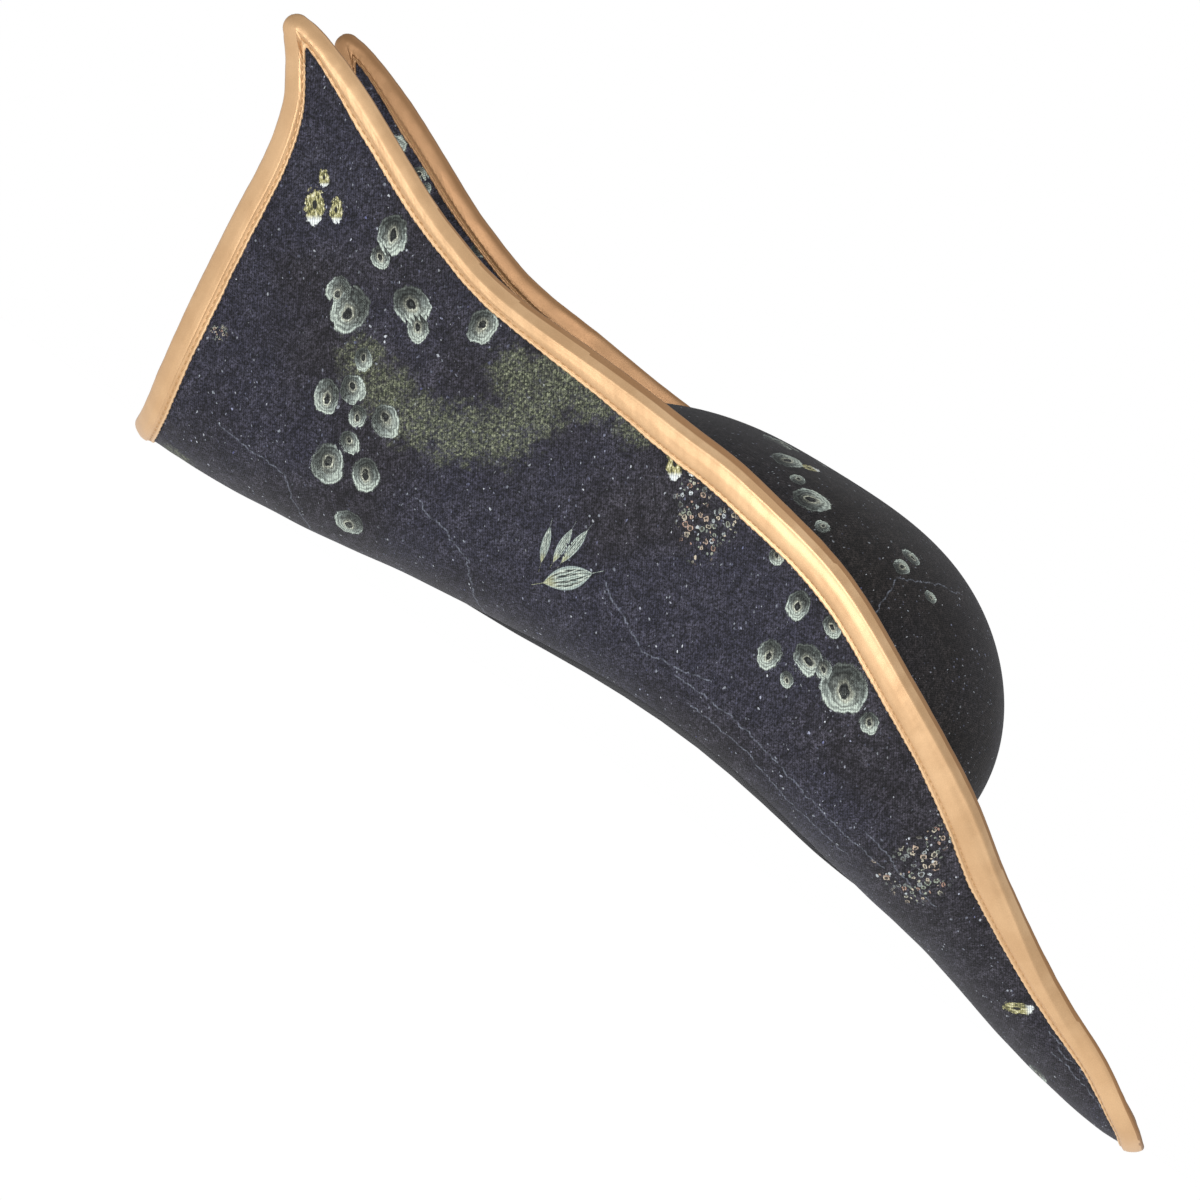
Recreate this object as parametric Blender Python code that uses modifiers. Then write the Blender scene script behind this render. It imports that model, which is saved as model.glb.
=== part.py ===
"""A pirate captain's hat: a padded dome crown on one wide padded brim, folded up into two
pointed wings that run back to a rounded tail, with a satin binding round the whole brim edge.

Frame: the wearer faces -Y, the wearer's left is +X, +Z is up, and the origin is the middle of
the head opening. Lengths are in millimetres in this text and are scaled to metres when built.
"""

import bpy
import numpy as np

MM = 0.001

# Head opening and sweatband
HEAD_HALF_LENGTH = 99.0
HEAD_HALF_WIDTH = 81.0
SWEATBAND_WALL = 1.0
SWEATBAND_HEIGHT = 32.0
SWEATBAND_DROP = 3.5
GAP = 0.3

# Layers of the brim and of the crown, from one face to the other
COVER_WALL = 0.6
BRIM_FOAM_WALL = 3.0
CROWN_FOAM_WALL = 3.0
LINING_WALL = 0.4
STACK_OFFSET = 2.6
SIDE_SLOPE_ALLOWANCE = 1.5

# Crown
CROWN_TOP = 103.0
CROWN_LIFT = 1.7
CROWN_SQUARENESS = 2.7
CROWN_BULGE = 9.4
CROWN_SIDE_BULGE = 5.5
CROWN_REAR_RISE = 0.085
CROWN_COLUMNS = 40
CROWN_ROWS = 9

# Brim cross-sections: a flat floor, a bend and a wall, each given against y
FLOOR_HEIGHT = ((-250, -26), (-205, -23), (-178, -21), (-150, -16.8), (-100, -6.4), (-50, 1.2),
                (0, 3.5), (50, 1.5), (100, -5.2), (130, -10.4), (150, -15.4), (170, -20.8),
                (190, -24.8), (215, -27.9), (240, -27.2))
FLOOR_HALF_WIDTH = ((-250, 46), (-200, 48), (-100, 60), (0, 68), (60, 60), (100, 46),
                    (150, 22), (190, 5), (240, 0))
BEND_RADIUS = ((-250, 46), (-200, 45), (-100, 42), (0, 38), (60, 40), (100, 42), (150, 43),
               (190, 45), (240, 40))
WALL_LEAN_DEG = ((-250, 84), (0, 84), (60, 83), (100, 82), (150, 79), (190, 72), (240, 62))

# Brim edge: the front lip as (distance along the section, y), the wing edge as (y, z)
FRONT_EDGE = ((0, -210), (45, -209.4), (75, -208.4), (98, -210.8), (125, -215.3), (155, -219.8),
              (182, -223.3), (202, -229), (216, -237.4), (223, -243))
WING_EDGE = ((-243.4, 125.4), (-234, 123.9), (-215, 118), (-190, 107.7), (-160, 96.7),
             (-125, 90.6), (-60, 90.6), (-25, 89.3), (20, 81.4), (60, 64.5), (100, 45),
             (130, 26), (155, 10.9), (180, -1.8), (204, -12))
TAIL_EDGE = ((25, 221.5), (13, 228.5), (0, 231))
# The wearer's right half has slumped a little: how steeply, and how far out that starts
SLUMP_TILT = ((-250, 0), (-215, -0.005), (-186, -0.012), (-148, 0), (-118, 0.03), (-104, 0.052),
              (-89, 0.09), (-74, 0.125), (-60, 0.135), (-35, 0.09), (0, 0.03), (40, 0.01), (80, 0.03),
              (120, 0.12), (150, 0.17), (190, 0.2), (240, 0.1))
SLUMP_START = ((-250, 100), (50, 100), (130, 15), (240, 10))
SLUMP_EASE = 15.0
BRIM_HALF_COLUMNS = 30
BRIM_ROWS = 8

# Binding, its stitching and the wire in its channel
BINDING_WALL = 0.8
BINDING_WIDTH = 10.0
CHANNEL_DEPTH = 4.1
WIRE_RADIUS = 0.6
WIRE_OUT = 2.15
SLEEVE_RADIUS = 1.5
SLEEVE_BORE = 1.1
SLEEVE_LENGTH = 14.0
THREAD_RADIUS = 0.25
STITCH_INSET = 1.6

COLLECTION = "pirate_captain_hat"
SHARP_ANGLE = np.radians(50)


def clear_scene():
    for old in list(bpy.data.objects):
        bpy.data.objects.remove(old)


def unit(v):
    return v / np.maximum(np.linalg.norm(v, axis=-1, keepdims=True), 1e-12)


def through(stations, at):
    """A smooth curve through (position, value) stations, read at the given positions."""
    x, y = np.array(stations, float).T
    slope = np.gradient(y, x)
    at = np.clip(np.asarray(at, float), x[0], x[-1])
    i = np.clip(np.searchsorted(x, at, side="right") - 1, 0, len(x) - 2)
    h = x[i + 1] - x[i]
    t = (at - x[i]) / h
    a = (1 + 2 * t) * (1 - t) ** 2 * y[i] + t * (1 - t) ** 2 * h * slope[i]
    return a + t * t * (3 - 2 * t) * y[i + 1] + t * t * (t - 1) * h * slope[i + 1]


def fold(q, y):
    """The brim's middle surface: q runs along a cross-section from the hat's midline."""
    side, q = np.sign(q), np.abs(q)
    flat, radius = through(FLOOR_HALF_WIDTH, y), through(BEND_RADIUS, y)
    lean = np.radians(through(WALL_LEAN_DEG, y))
    bend = np.clip((q - flat) / radius, 0, lean)
    rest = np.maximum(q - flat - radius * lean, 0)
    x = np.minimum(q, flat) + radius * np.sin(bend) + rest * np.cos(lean)
    z = through(FLOOR_HEIGHT, y) + radius * (1 - np.cos(bend)) + rest * np.sin(lean)
    beyond = np.maximum(q - through(SLUMP_START, y), 0) * (side < 0)
    z = z - through(SLUMP_TILT, y) * beyond ** 2 / (beyond + SLUMP_EASE)
    return np.stack([x * side, y + 0 * x, z], axis=-1)


def fold_normal(q, y):
    """Unit normal of the brim's middle surface on the side that faces the crown."""
    d = 0.05
    along = fold(q + d, y) - fold(q - d, y)
    back = fold(q, y + d) - fold(q, y - d)
    return unit(np.cross(along, back))


def section_length(y, z):
    """How far along the cross-section at y the brim reaches height z."""
    flat, radius = through(FLOOR_HALF_WIDTH, y), through(BEND_RADIUS, y)
    lean = np.radians(through(WALL_LEAN_DEG, y))
    rise = z - through(FLOOR_HEIGHT, y)
    bend = np.arccos(np.clip(1 - rise / radius, np.cos(lean), 1))
    rest = np.maximum(rise - radius * (1 - np.cos(lean)), 0)
    return flat + radius * bend + rest / np.sin(lean)


def dense(points, steps):
    """Catmull-Rom curve through points, not counting the first and last, which only guide it."""
    out = []
    for a, b, c, d in zip(points, points[1:], points[2:], points[3:], strict=False):
        for t in np.arange(steps) / steps:
            out.append(0.5 * ((2 * b) + (c - a) * t + (2 * a - 5 * b + 4 * c - d) * t * t
                              + (3 * b - a - 3 * c + d) * t ** 3))
    out.append(points[-2])
    return np.array(out)


def edge_outline():
    """The right half of the brim edge in the section plane (q, y), from lip to tail."""
    front = [np.array(p, float) for p in FRONT_EDGE]
    wing = [np.array([float(section_length(y, z)), y], float) for y, z in WING_EDGE]
    tail = [np.array(p, float) for p in TAIL_EDGE]
    line = front + wing + tail
    first, last = line[1] * (-1, 1), line[-2] * (-1, 1)
    return dense([first] + line + [last], 24)


def spread(outline):
    """Column positions along the edge, closer together at the horn tip, lip corner and tail."""
    run = np.concatenate([[0], np.cumsum(np.linalg.norm(np.diff(outline, axis=0), axis=1))])
    tip = run[np.argmin(outline[:, 1])]
    weight = 1 + 7 * np.exp(-((run - tip) / 9) ** 2) + 1.2 * np.exp(-((run[-1] - run) / 45) ** 2)
    weight += np.exp(-((run - 95) / 30) ** 2)
    load = np.concatenate([[0], np.cumsum((weight[1:] + weight[:-1]) / 2 * np.diff(run))])
    marks = np.interp(np.arange(BRIM_HALF_COLUMNS + 1) / BRIM_HALF_COLUMNS * load[-1], load, run)
    nearest = 1 + np.argmin(np.abs(marks[1:-1] - tip))
    marks[nearest] = tip
    return marks, run, nearest


def inner_line(outline, start, end):
    """The point on the way from start to end that lies a binding's width from the edge."""
    t = np.linspace(0, 0.6, 240)[:, None]
    way = start + (end - start) * t
    away = np.linalg.norm(way[:, None] - outline[None], axis=2).min(axis=1)
    return way[np.argmax(away >= BINDING_WIDTH)]


def brim_domain():
    """Grid of (q, y) over the right half: rows from head opening to edge, columns lip to tail."""
    outline = edge_outline()
    marks, run, tip = spread(outline)
    edge = np.stack([np.interp(marks, run, outline[:, k]) for k in (0, 1)], axis=1)
    turn = -np.pi / 2 + np.pi * (marks / run[-1])
    root = np.stack([(HEAD_HALF_WIDTH + STACK_OFFSET + SIDE_SLOPE_ALLOWANCE) * np.cos(turn),
                     (HEAD_HALF_LENGTH + STACK_OFFSET) * np.sin(turn)], axis=1)
    root[0, 0] = root[-1, 0] = 0
    both = np.concatenate([outline, outline[1:-1] * (-1, 1)])
    margin = np.array([inner_line(both, e, r) for e, r in zip(edge, root, strict=True)])
    share = (np.arange(BRIM_ROWS + 1) / BRIM_ROWS)[:, None, None]
    grid = root + (margin - root) * share
    return np.concatenate([grid, edge[None]]), tip


def full_loop(half):
    """Right-half columns joined to their mirrored copies, as one closed loop of columns."""
    left = half[:, -2:0:-1] * np.array((-1, 1))
    return np.concatenate([half, left], axis=1)


def material(name, colour, roughness, metallic=0.0):
    made = bpy.data.materials.new(name)
    made.use_nodes = True
    shader = made.node_tree.nodes["Principled BSDF"]
    shader.inputs["Base Color"].default_value = (*colour, 1)
    shader.inputs["Roughness"].default_value = roughness
    shader.inputs["Metallic"].default_value = metallic
    return made


def add_mesh(name, points, faces, look):
    mesh = bpy.data.meshes.new(name)
    mesh.from_pydata((np.asarray(points) * MM).tolist(), [], faces)
    mesh.shade_smooth()
    mesh.set_sharp_from_angle(angle=SHARP_ANGLE)
    made = bpy.data.objects.new(name, mesh)
    bpy.data.collections[COLLECTION].objects.link(made)
    mesh.materials.append(look)
    return made


def grid_faces(rows, columns, closed, crossed=lambda row, column: False):
    """Triangles of a grid of points. crossed picks the diagonal of each cell, which is the same in
    every layer over a cell, so that neighbouring layers stay parallel."""
    faces = []
    for r in range(rows - 1):
        for c in range(columns if closed else columns - 1):
            d = (c + 1) % columns
            a, b, e, f = r * columns + c, r * columns + d, (r + 1) * columns + d, (r + 1) * columns + c
            faces += [(a, b, f), (b, e, f)] if crossed(r, c) else [(a, b, e), (a, e, f)]
    return faces


def solidify(made, wall):
    shell = made.modifiers.new("wall", "SOLIDIFY")
    shell.thickness = wall * MM
    shell.offset = 0
    return made


def thread(name, line, radius, look, cyclic=False):
    """A round cord along a line of points."""
    curve = bpy.data.curves.new(name, "CURVE")
    curve.dimensions = "3D"
    curve.bevel_depth = radius * MM
    curve.bevel_resolution = 0
    curve.use_fill_caps = not cyclic
    path = curve.splines.new("POLY")
    path.points.add(len(line) - 1)
    path.points.foreach_set("co", np.c_[line * MM, np.ones(len(line))].ravel())
    path.use_cyclic_u = cyclic
    made = bpy.data.objects.new(name, curve)
    bpy.data.collections[COLLECTION].objects.link(made)
    curve.materials.append(look)
    return made


def brim_layers(grid, looks):
    rows, columns = grid.shape[:2]
    q, y = grid[..., 0], grid[..., 1]
    middle, normal = fold(q, y), fold_normal(q, y)
    faces = grid_faces(rows, columns, True, lambda r, c: c >= columns // 2)
    cover = BRIM_FOAM_WALL / 2 + GAP + COVER_WALL / 2
    for name, offset, wall in (("brim_lower_cover", -cover, COVER_WALL),
                               ("brim_foam", 0.0, BRIM_FOAM_WALL),
                               ("brim_upper_cover", cover, COVER_WALL)):
        points = (middle + normal * offset).reshape(-1, 3)
        solidify(add_mesh(name, points, faces, looks[name]), wall)


class EdgeStrip:
    """A run of brim-edge columns, with the frames that the binding, wire and stitches follow."""

    def __init__(self, grid, start, stop, trim):
        columns = grid.shape[1]
        self.on_left = [(c % columns) >= columns // 2 for c in range(start, stop + 1)]
        cuts = np.arange(start, stop + 1, dtype=float)
        cuts[0] += trim[0]
        cuts[-1] -= trim[1]
        low = np.floor(cuts).astype(int)
        share = (cuts - low)[None, :, None]
        pair = grid[-2:]
        self.pair = pair[:, low % columns] * (1 - share) + pair[:, (low + 1) % columns] * share
        at, normal = fold(grid[-1, :, 0], grid[-1, :, 1]), fold_normal(grid[-1, :, 0], grid[-1, :, 1])
        along = unit(np.roll(at, -1, axis=0) - np.roll(at, 1, axis=0))
        outward = unit(np.cross(along, normal))
        share = share[0]
        self.outward = unit(outward[low % columns] * (1 - share) + outward[(low + 1) % columns] * share)
        self.rows = []
        for row in (-2, -1):
            p = fold(grid[row, :, 0], grid[row, :, 1])
            n = fold_normal(grid[row, :, 0], grid[row, :, 1])
            self.rows.append((p[low % columns] * (1 - share) + p[(low + 1) % columns] * share,
                              unit(n[low % columns] * (1 - share) + n[(low + 1) % columns] * share)))

    def margin(self, height, inset=0.0):
        """Points over the binding's inner margin, at a height off the middle surface."""
        (a, na), (b, nb) = self.rows
        t = inset / BINDING_WIDTH
        return a * (1 - t) + b * t + unit(na * (1 - t) + nb * t) * height

    def edge(self, out, height):
        b, nb = self.rows[1]
        return b + self.outward * out + nb * height


def binding(name, strip, look):
    half = BRIM_FOAM_WALL / 2 + GAP + COVER_WALL + GAP + BINDING_WALL / 2
    deep = CHANNEL_DEPTH + BINDING_WALL / 2
    section = [strip.margin(half), strip.edge(0, half), strip.edge(deep * 0.72, half * 0.72),
               strip.edge(deep, 0), strip.edge(deep * 0.72, -half * 0.72), strip.edge(0, -half),
               strip.margin(-half)]
    points = np.array(section)
    faces = grid_faces(len(section), points.shape[1], False,
                       lambda r, c: strip.on_left[c] != (r >= len(section) // 2))
    solidify(add_mesh(name, points.reshape(-1, 3), faces, look), BINDING_WALL)


def edge_pieces(grid, tip, looks):
    """Three bindings meeting at the horn tips and the tail, with a needle and a bobbin thread each."""
    columns = grid.shape[1]
    tail = columns // 2
    cut = 0.12
    runs = {"left": (tip, tail, (0.5 * cut, 0.5 * cut)),
            "right": (tail, columns - tip, (0.5 * cut, 0.5 * cut)),
            "front": (-tip, tip, (0.5 * cut, 0.5 * cut))}
    height = BRIM_FOAM_WALL / 2 + GAP + COVER_WALL + GAP + BINDING_WALL + 0.45 + THREAD_RADIUS
    for side, (start, stop, trim) in runs.items():
        binding(f"{side}_binding", EdgeStrip(grid, start, stop, trim), looks["binding"])
        short = EdgeStrip(grid, start, stop, (0.9, 0.9))
        thread(f"{side}_needle_thread", short.margin(-height, STITCH_INSET), THREAD_RADIUS,
               looks["thread"])
        thread(f"{side}_bobbin_thread", short.margin(height, STITCH_INSET), THREAD_RADIUS,
               looks["thread"])
    loop = EdgeStrip(grid, -tail, tail, (0.1, 0.1)).edge(WIRE_OUT, 0)
    thread("edge_wire", loop, WIRE_RADIUS, looks["wire"])
    return loop


def wire_sleeve(loop, look):
    """A crimped tube over the two wire ends, bent to the tail's curve."""
    path = np.concatenate([loop[-4:-1], [(loop[-1] + loop[0]) / 2], loop[1:4]])
    run = np.concatenate([[0], np.cumsum(np.linalg.norm(np.diff(path, axis=0), axis=1))])
    middle = run[3]
    marks = middle + np.linspace(-0.5, 0.5, 7) * SLEEVE_LENGTH
    marks = np.sort(np.concatenate([marks, run[(run > marks[0]) & (run < marks[-1])]]))
    marks = marks[np.concatenate([[True], np.diff(marks) > 0.8])]
    line = np.stack([np.interp(marks, run, path[:, k]) for k in range(3)], axis=1)
    along = unit(np.gradient(line, axis=0))
    side = unit(np.cross(along, (0, 0, 1)))
    up = np.cross(side, along)
    turns = np.arange(8) / 8 * 2 * np.pi
    radius = (SLEEVE_RADIUS + SLEEVE_BORE) / 2
    ring = [line + radius * (np.cos(a) * side + np.sin(a) * up) for a in turns]
    points = np.stack(ring, axis=1)
    faces = grid_faces(len(line), 8, True)
    tube = add_mesh("wire_sleeve", points.reshape(-1, 3), faces, look)
    solidify(tube, SLEEVE_RADIUS - SLEEVE_BORE)


def oval(turn, offset):
    return np.stack([(HEAD_HALF_WIDTH + offset) * np.cos(turn),
                     (HEAD_HALF_LENGTH + offset) * np.sin(turn)], axis=-1)


def band_foot(turn, offset):
    """Height of the brim's middle surface where the oval crosses it."""
    at = oval(turn, offset)
    return fold(at[..., 0], at[..., 1])[..., 2]


def crown_stack_top(turn):
    over = COVER_WALL + GAP + CROWN_FOAM_WALL + GAP + LINING_WALL
    return band_foot(turn, STACK_OFFSET + over) + BRIM_FOAM_WALL / 2 + GAP + COVER_WALL + CROWN_LIFT


def crown_surface(turn, rise, offset):
    """The dome at a turn about the head and a rise from 0 at the foot to 1 at the top."""
    angle = rise * np.pi / 2
    shrink = np.cos(angle) ** (2 / CROWN_SQUARENESS)
    climb = np.sin(angle) ** (2 / CROWN_SQUARENESS)
    swell = CROWN_SIDE_BULGE + (CROWN_BULGE - CROWN_SIDE_BULGE) * np.sin(turn) ** 2
    swell = swell * np.sin(np.pi * np.clip(climb, 0, 1)) ** 1.3
    foot = crown_stack_top(turn)
    at = oval(turn, STACK_OFFSET + swell) * shrink[..., None]
    top = CROWN_TOP * (1 + CROWN_REAR_RISE * at[..., 1] / 100)
    middle = np.stack([at[..., 0], at[..., 1], foot + (top - foot) * climb], axis=-1)
    return middle if not np.any(offset) else middle + crown_normal(turn, rise) * offset


def crown_normal(turn, rise):
    d = 1e-3
    rise = np.clip(rise, 0.02, 1 - 2e-2)
    along = crown_surface(turn + d, rise, 0) - crown_surface(turn - d, rise, 0)
    up = crown_surface(turn, rise + d, 0) - crown_surface(turn, rise - d, 0)
    return unit(np.cross(along, up))


def crown_layers(looks):
    turn = (np.arange(CROWN_COLUMNS) / CROWN_COLUMNS * 2 * np.pi)[None, :]
    rise = (np.arange(CROWN_ROWS) / CROWN_ROWS)[:, None] ** 1.15
    turn, rise = np.broadcast_arrays(turn, rise)
    at = LINING_WALL / 2
    stack = [("crown_lining", at, LINING_WALL)]
    at = LINING_WALL + GAP + CROWN_FOAM_WALL / 2
    stack.append(("crown_foam", at, CROWN_FOAM_WALL))
    at = LINING_WALL + GAP + CROWN_FOAM_WALL + GAP + COVER_WALL / 2
    stack.append(("crown_cover", at, COVER_WALL))
    for name, offset, wall in stack:
        base = crown_surface(turn, rise, 0)
        normal = crown_normal(turn, rise)
        normal[0, :, 2] = 0
        points = base + unit(normal) * offset
        points = points.reshape(-1, 3)
        peak = len(points)
        top = np.array([0, 0, CROWN_TOP + offset])
        points = np.vstack([points, top])
        faces = grid_faces(CROWN_ROWS, CROWN_COLUMNS, True)
        last = (CROWN_ROWS - 1) * CROWN_COLUMNS
        for c in range(CROWN_COLUMNS):
            faces.append((last + c, last + (c + 1) % CROWN_COLUMNS, peak))
        solidify(add_mesh(name, points, faces, looks[name]), wall)


def ribbon(name, offset, wall, low, high, rows, look, turns=None):
    """A band round the head opening, or a short piece of one, set off from the oval."""
    closed = turns is None
    if closed:
        turns = np.arange(CROWN_COLUMNS) / CROWN_COLUMNS * 2 * np.pi
    flat = oval(turns, offset + wall / 2)
    foot = band_foot(turns, STACK_OFFSET)
    points = [np.c_[flat, foot + low + (high - low) * r / rows] for r in range(rows + 1)]
    faces = grid_faces(rows + 1, len(turns), closed)
    solidify(add_mesh(name, np.vstack(points), faces, look), wall)


def band_pieces(looks):
    ribbon("sweatband", 0, SWEATBAND_WALL, -SWEATBAND_DROP, SWEATBAND_HEIGHT - SWEATBAND_DROP, 3,
           looks["sweatband"])
    ribbon("seam_tape", SWEATBAND_WALL + GAP, 0.4, -SWEATBAND_DROP, 9.0, 1, looks["seam_tape"])
    turns = np.arange(CROWN_COLUMNS) / CROWN_COLUMNS * 2 * np.pi
    inside = -GAP - THREAD_RADIUS
    line = np.c_[oval(turns, inside), band_foot(turns, STACK_OFFSET) - SWEATBAND_DROP + 2.0]
    thread("sweatband_thread", line, THREAD_RADIUS, looks["thread"], cyclic=True)
    turns = np.pi / 2 + np.linspace(-0.17, 0.17, 5)
    ribbon("care_label", -GAP - 0.55, 0.35, 2.0, 27.0, 2, looks["care_label"], turns)


def build():
    clear_scene()
    collection = bpy.data.collections.new(COLLECTION)
    bpy.context.scene.collection.children.link(collection)
    looks = {
        "crown_cover": material("crown_cover", (0.030, 0.028, 0.030), 0.62),
        "brim_lower_cover": material("brim_lower_cover", (0.032, 0.031, 0.042), 0.62),
        "brim_upper_cover": material("brim_upper_cover", (0.030, 0.029, 0.040), 0.62),
        "brim_foam": material("brim_foam", (0.16, 0.16, 0.17), 0.9),
        "crown_foam": material("crown_foam", (0.17, 0.17, 0.18), 0.9),
        "crown_lining": material("crown_lining", (0.020, 0.020, 0.022), 0.45),
        "sweatband": material("sweatband", (0.035, 0.028, 0.024), 0.55),
        "seam_tape": material("seam_tape", (0.05, 0.05, 0.055), 0.7),
        "care_label": material("care_label", (0.75, 0.74, 0.70), 0.7),
        "binding": material("binding", (0.60, 0.36, 0.16), 0.32, 0.25),
        "thread": material("thread", (0.45, 0.28, 0.12), 0.5),
        "wire": material("wire", (0.55, 0.56, 0.58), 0.35, 1.0),
        "wire_sleeve": material("wire_sleeve", (0.60, 0.60, 0.62), 0.3, 1.0),
    }
    half, tip = brim_domain()
    grid = full_loop(half)
    brim_layers(grid, looks)
    loop = edge_pieces(grid, tip, looks)
    wire_sleeve(loop, looks["wire_sleeve"])
    crown_layers(looks)
    band_pieces(looks)


build()
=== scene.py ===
"""The looks of a pirate captain's hat: printed cloth over foam, a gold binding sewn round the brim
edge, and a ribbed sweatband and lining inside. Lengths are millimetres until a mesh is made.
"""

import bpy
import numpy as np
from mathutils import Matrix, Vector


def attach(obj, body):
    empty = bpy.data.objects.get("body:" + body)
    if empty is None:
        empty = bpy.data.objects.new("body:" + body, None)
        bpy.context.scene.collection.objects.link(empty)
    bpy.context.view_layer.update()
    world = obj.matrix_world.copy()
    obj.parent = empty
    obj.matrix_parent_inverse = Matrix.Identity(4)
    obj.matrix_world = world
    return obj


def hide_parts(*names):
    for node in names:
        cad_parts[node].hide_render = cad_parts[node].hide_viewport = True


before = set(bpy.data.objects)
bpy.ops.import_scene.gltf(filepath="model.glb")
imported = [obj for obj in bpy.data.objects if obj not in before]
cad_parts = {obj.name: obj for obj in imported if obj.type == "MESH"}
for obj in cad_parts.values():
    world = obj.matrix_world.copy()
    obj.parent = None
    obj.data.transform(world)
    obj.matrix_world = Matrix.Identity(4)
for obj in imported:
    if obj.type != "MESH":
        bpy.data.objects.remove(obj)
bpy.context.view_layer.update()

MM = 0.001

# The CAD's driving dimensions
HEAD_HALF_LENGTH = 99.0
HEAD_HALF_WIDTH = 81.0
HEAD_MEAN_RADIUS = (HEAD_HALF_LENGTH + HEAD_HALF_WIDTH) / 2
SWEATBAND_WALL = 1.0
SWEATBAND_HEIGHT = 32.0
SWEATBAND_DROP = 3.5
GAP = 0.3
COVER_WALL = 0.6
FOAM_WALL = 3.0
LINING_WALL = 0.4
STACK_OFFSET = 2.6
SIDE_SLOPE_ALLOWANCE = 1.5
CROWN_TOP = 103.0
CROWN_LIFT = 1.7
CROWN_SQUARENESS = 2.7
CROWN_BULGE = 9.4
CROWN_SIDE_BULGE = 5.5
CROWN_REAR_RISE = 0.085

# Brim cross-sections: a flat floor, a bend and a wall, each given against y
FLOOR_HEIGHT = ((-250, -26), (-205, -23), (-178, -21), (-150, -16.8), (-100, -6.4), (-50, 1.2),
                (0, 3.5), (50, 1.5), (100, -5.2), (130, -10.4), (150, -15.4), (170, -20.8),
                (190, -24.8), (215, -27.9), (240, -27.2))
FLOOR_HALF_WIDTH = ((-250, 46), (-200, 48), (-100, 60), (0, 68), (60, 60), (100, 46),
                    (150, 22), (190, 5), (240, 0))
BEND_RADIUS = ((-250, 46), (-200, 45), (-100, 42), (0, 38), (60, 40), (100, 42), (150, 43),
               (190, 45), (240, 40))
WALL_LEAN_DEG = ((-250, 84), (0, 84), (60, 83), (100, 82), (150, 79), (190, 72), (240, 62))

# Brim edge: the front lip as (distance along the section, y), the wing edge as (y, z)
FRONT_EDGE = ((0, -210), (45, -209.4), (75, -208.4), (98, -210.8), (125, -215.3), (155, -219.8),
              (182, -223.3), (202, -229), (216, -237.4), (223, -243))
WING_EDGE = ((-243.4, 125.4), (-234, 123.9), (-215, 118), (-190, 107.7), (-160, 96.7),
             (-125, 90.6), (-60, 90.6), (-25, 89.3), (20, 81.4), (60, 64.5), (100, 45),
             (130, 26), (155, 10.9), (180, -1.8), (204, -12))
TAIL_EDGE = ((25, 221.5), (13, 228.5), (0, 231))
# The wearer's right half has slumped a little: how steeply, and how far out that starts
SLUMP_TILT = ((-250, 0), (-215, -0.005), (-186, -0.012), (-148, 0), (-118, 0.03), (-104, 0.052),
              (-89, 0.09), (-74, 0.125), (-60, 0.135), (-35, 0.09), (0, 0.03), (40, 0.01),
              (80, 0.03), (120, 0.12), (150, 0.17), (190, 0.2), (240, 0.1))
SLUMP_START = ((-250, 100), (50, 100), (130, 15), (240, 10))
SLUMP_EASE = 15.0

# Padding, pinched where the binding is sewn through it
FULL_HALF = FOAM_WALL / 2 + GAP + COVER_WALL
PINCHED_HALF = 1.75
PINCH_REACH = 9.0

# Binding: how far it reaches in over the cloth and out past the edge, each given against y
TRIM_REACH = ((-245, 2.0), (-236, 2.1), (-229, 3.0), (-221, 4.1), (-205, 4.1), (-160, 4.0),
              (-140, 4.4), (-115, 5.4), (-75, 7.7), (-40, 8.9), (0, 8.7), (70, 8.1), (120, 8.2),
              (145, 7.0), (162, 5.4), (188, 3.8), (210, 3.0), (235, 2.8))
TRIM_OUT = ((-245, 5.1), (-205, 4.9), (-150, 4.6), (-100, 4.7), (-40, 4.4), (10, 4.1), (90, 4.2),
            (140, 4.2), (165, 4.9), (235, 5.0))
TRIM_ROLL = ((-245, 0.25), (-170, 0.35), (-110, 1), (60, 1), (150, 0.75), (235, 0.3))
TRIM_WALL = 0.65
STITCH_INSET = 1.1
FULL_HEM_REACH = 4.6
TIP_EASE = 1.6
END_COLUMNS = 14
STITCH_PITCH = 3.0
STITCH_LENGTH = 2.2
STITCH_HEIGHT = 2.66
THREAD_RADIUS = 0.23
WIRE_RADIUS = 0.6
WIRE_OUT = 2.15

# Mesh density
BRIM_COLUMNS = 400
TRIM_COLUMNS = 640
CROWN_COLUMNS = 260
CROWN_ROWS = 70
RIB_PITCH = 1.25
RIB_THREAD_PITCH = 0.45
RIB_COLUMNS = 4
LABEL_HEIGHT = 25.0


def smooth(x, low, high):
    """0 below low, 1 above high, and a smooth step between them."""
    t = np.clip((np.asarray(x, float) - low) / (high - low), 0, 1)
    return t * t * (3 - 2 * t)


def unit(v):
    return v / np.maximum(np.linalg.norm(v, axis=-1, keepdims=True), 1e-12)


def through(stations, at):
    """A smooth curve through (position, value) stations, read at the given positions."""
    x, y = np.array(stations, float).T
    slope = np.gradient(y, x)
    at = np.clip(np.asarray(at, float), x[0], x[-1])
    i = np.clip(np.searchsorted(x, at, side="right") - 1, 0, len(x) - 2)
    h = x[i + 1] - x[i]
    t = (at - x[i]) / h
    a = (1 + 2 * t) * (1 - t) ** 2 * y[i] + t * (1 - t) ** 2 * h * slope[i]
    return a + t * t * (3 - 2 * t) * y[i + 1] + t * t * (t - 1) * h * slope[i + 1]


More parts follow.
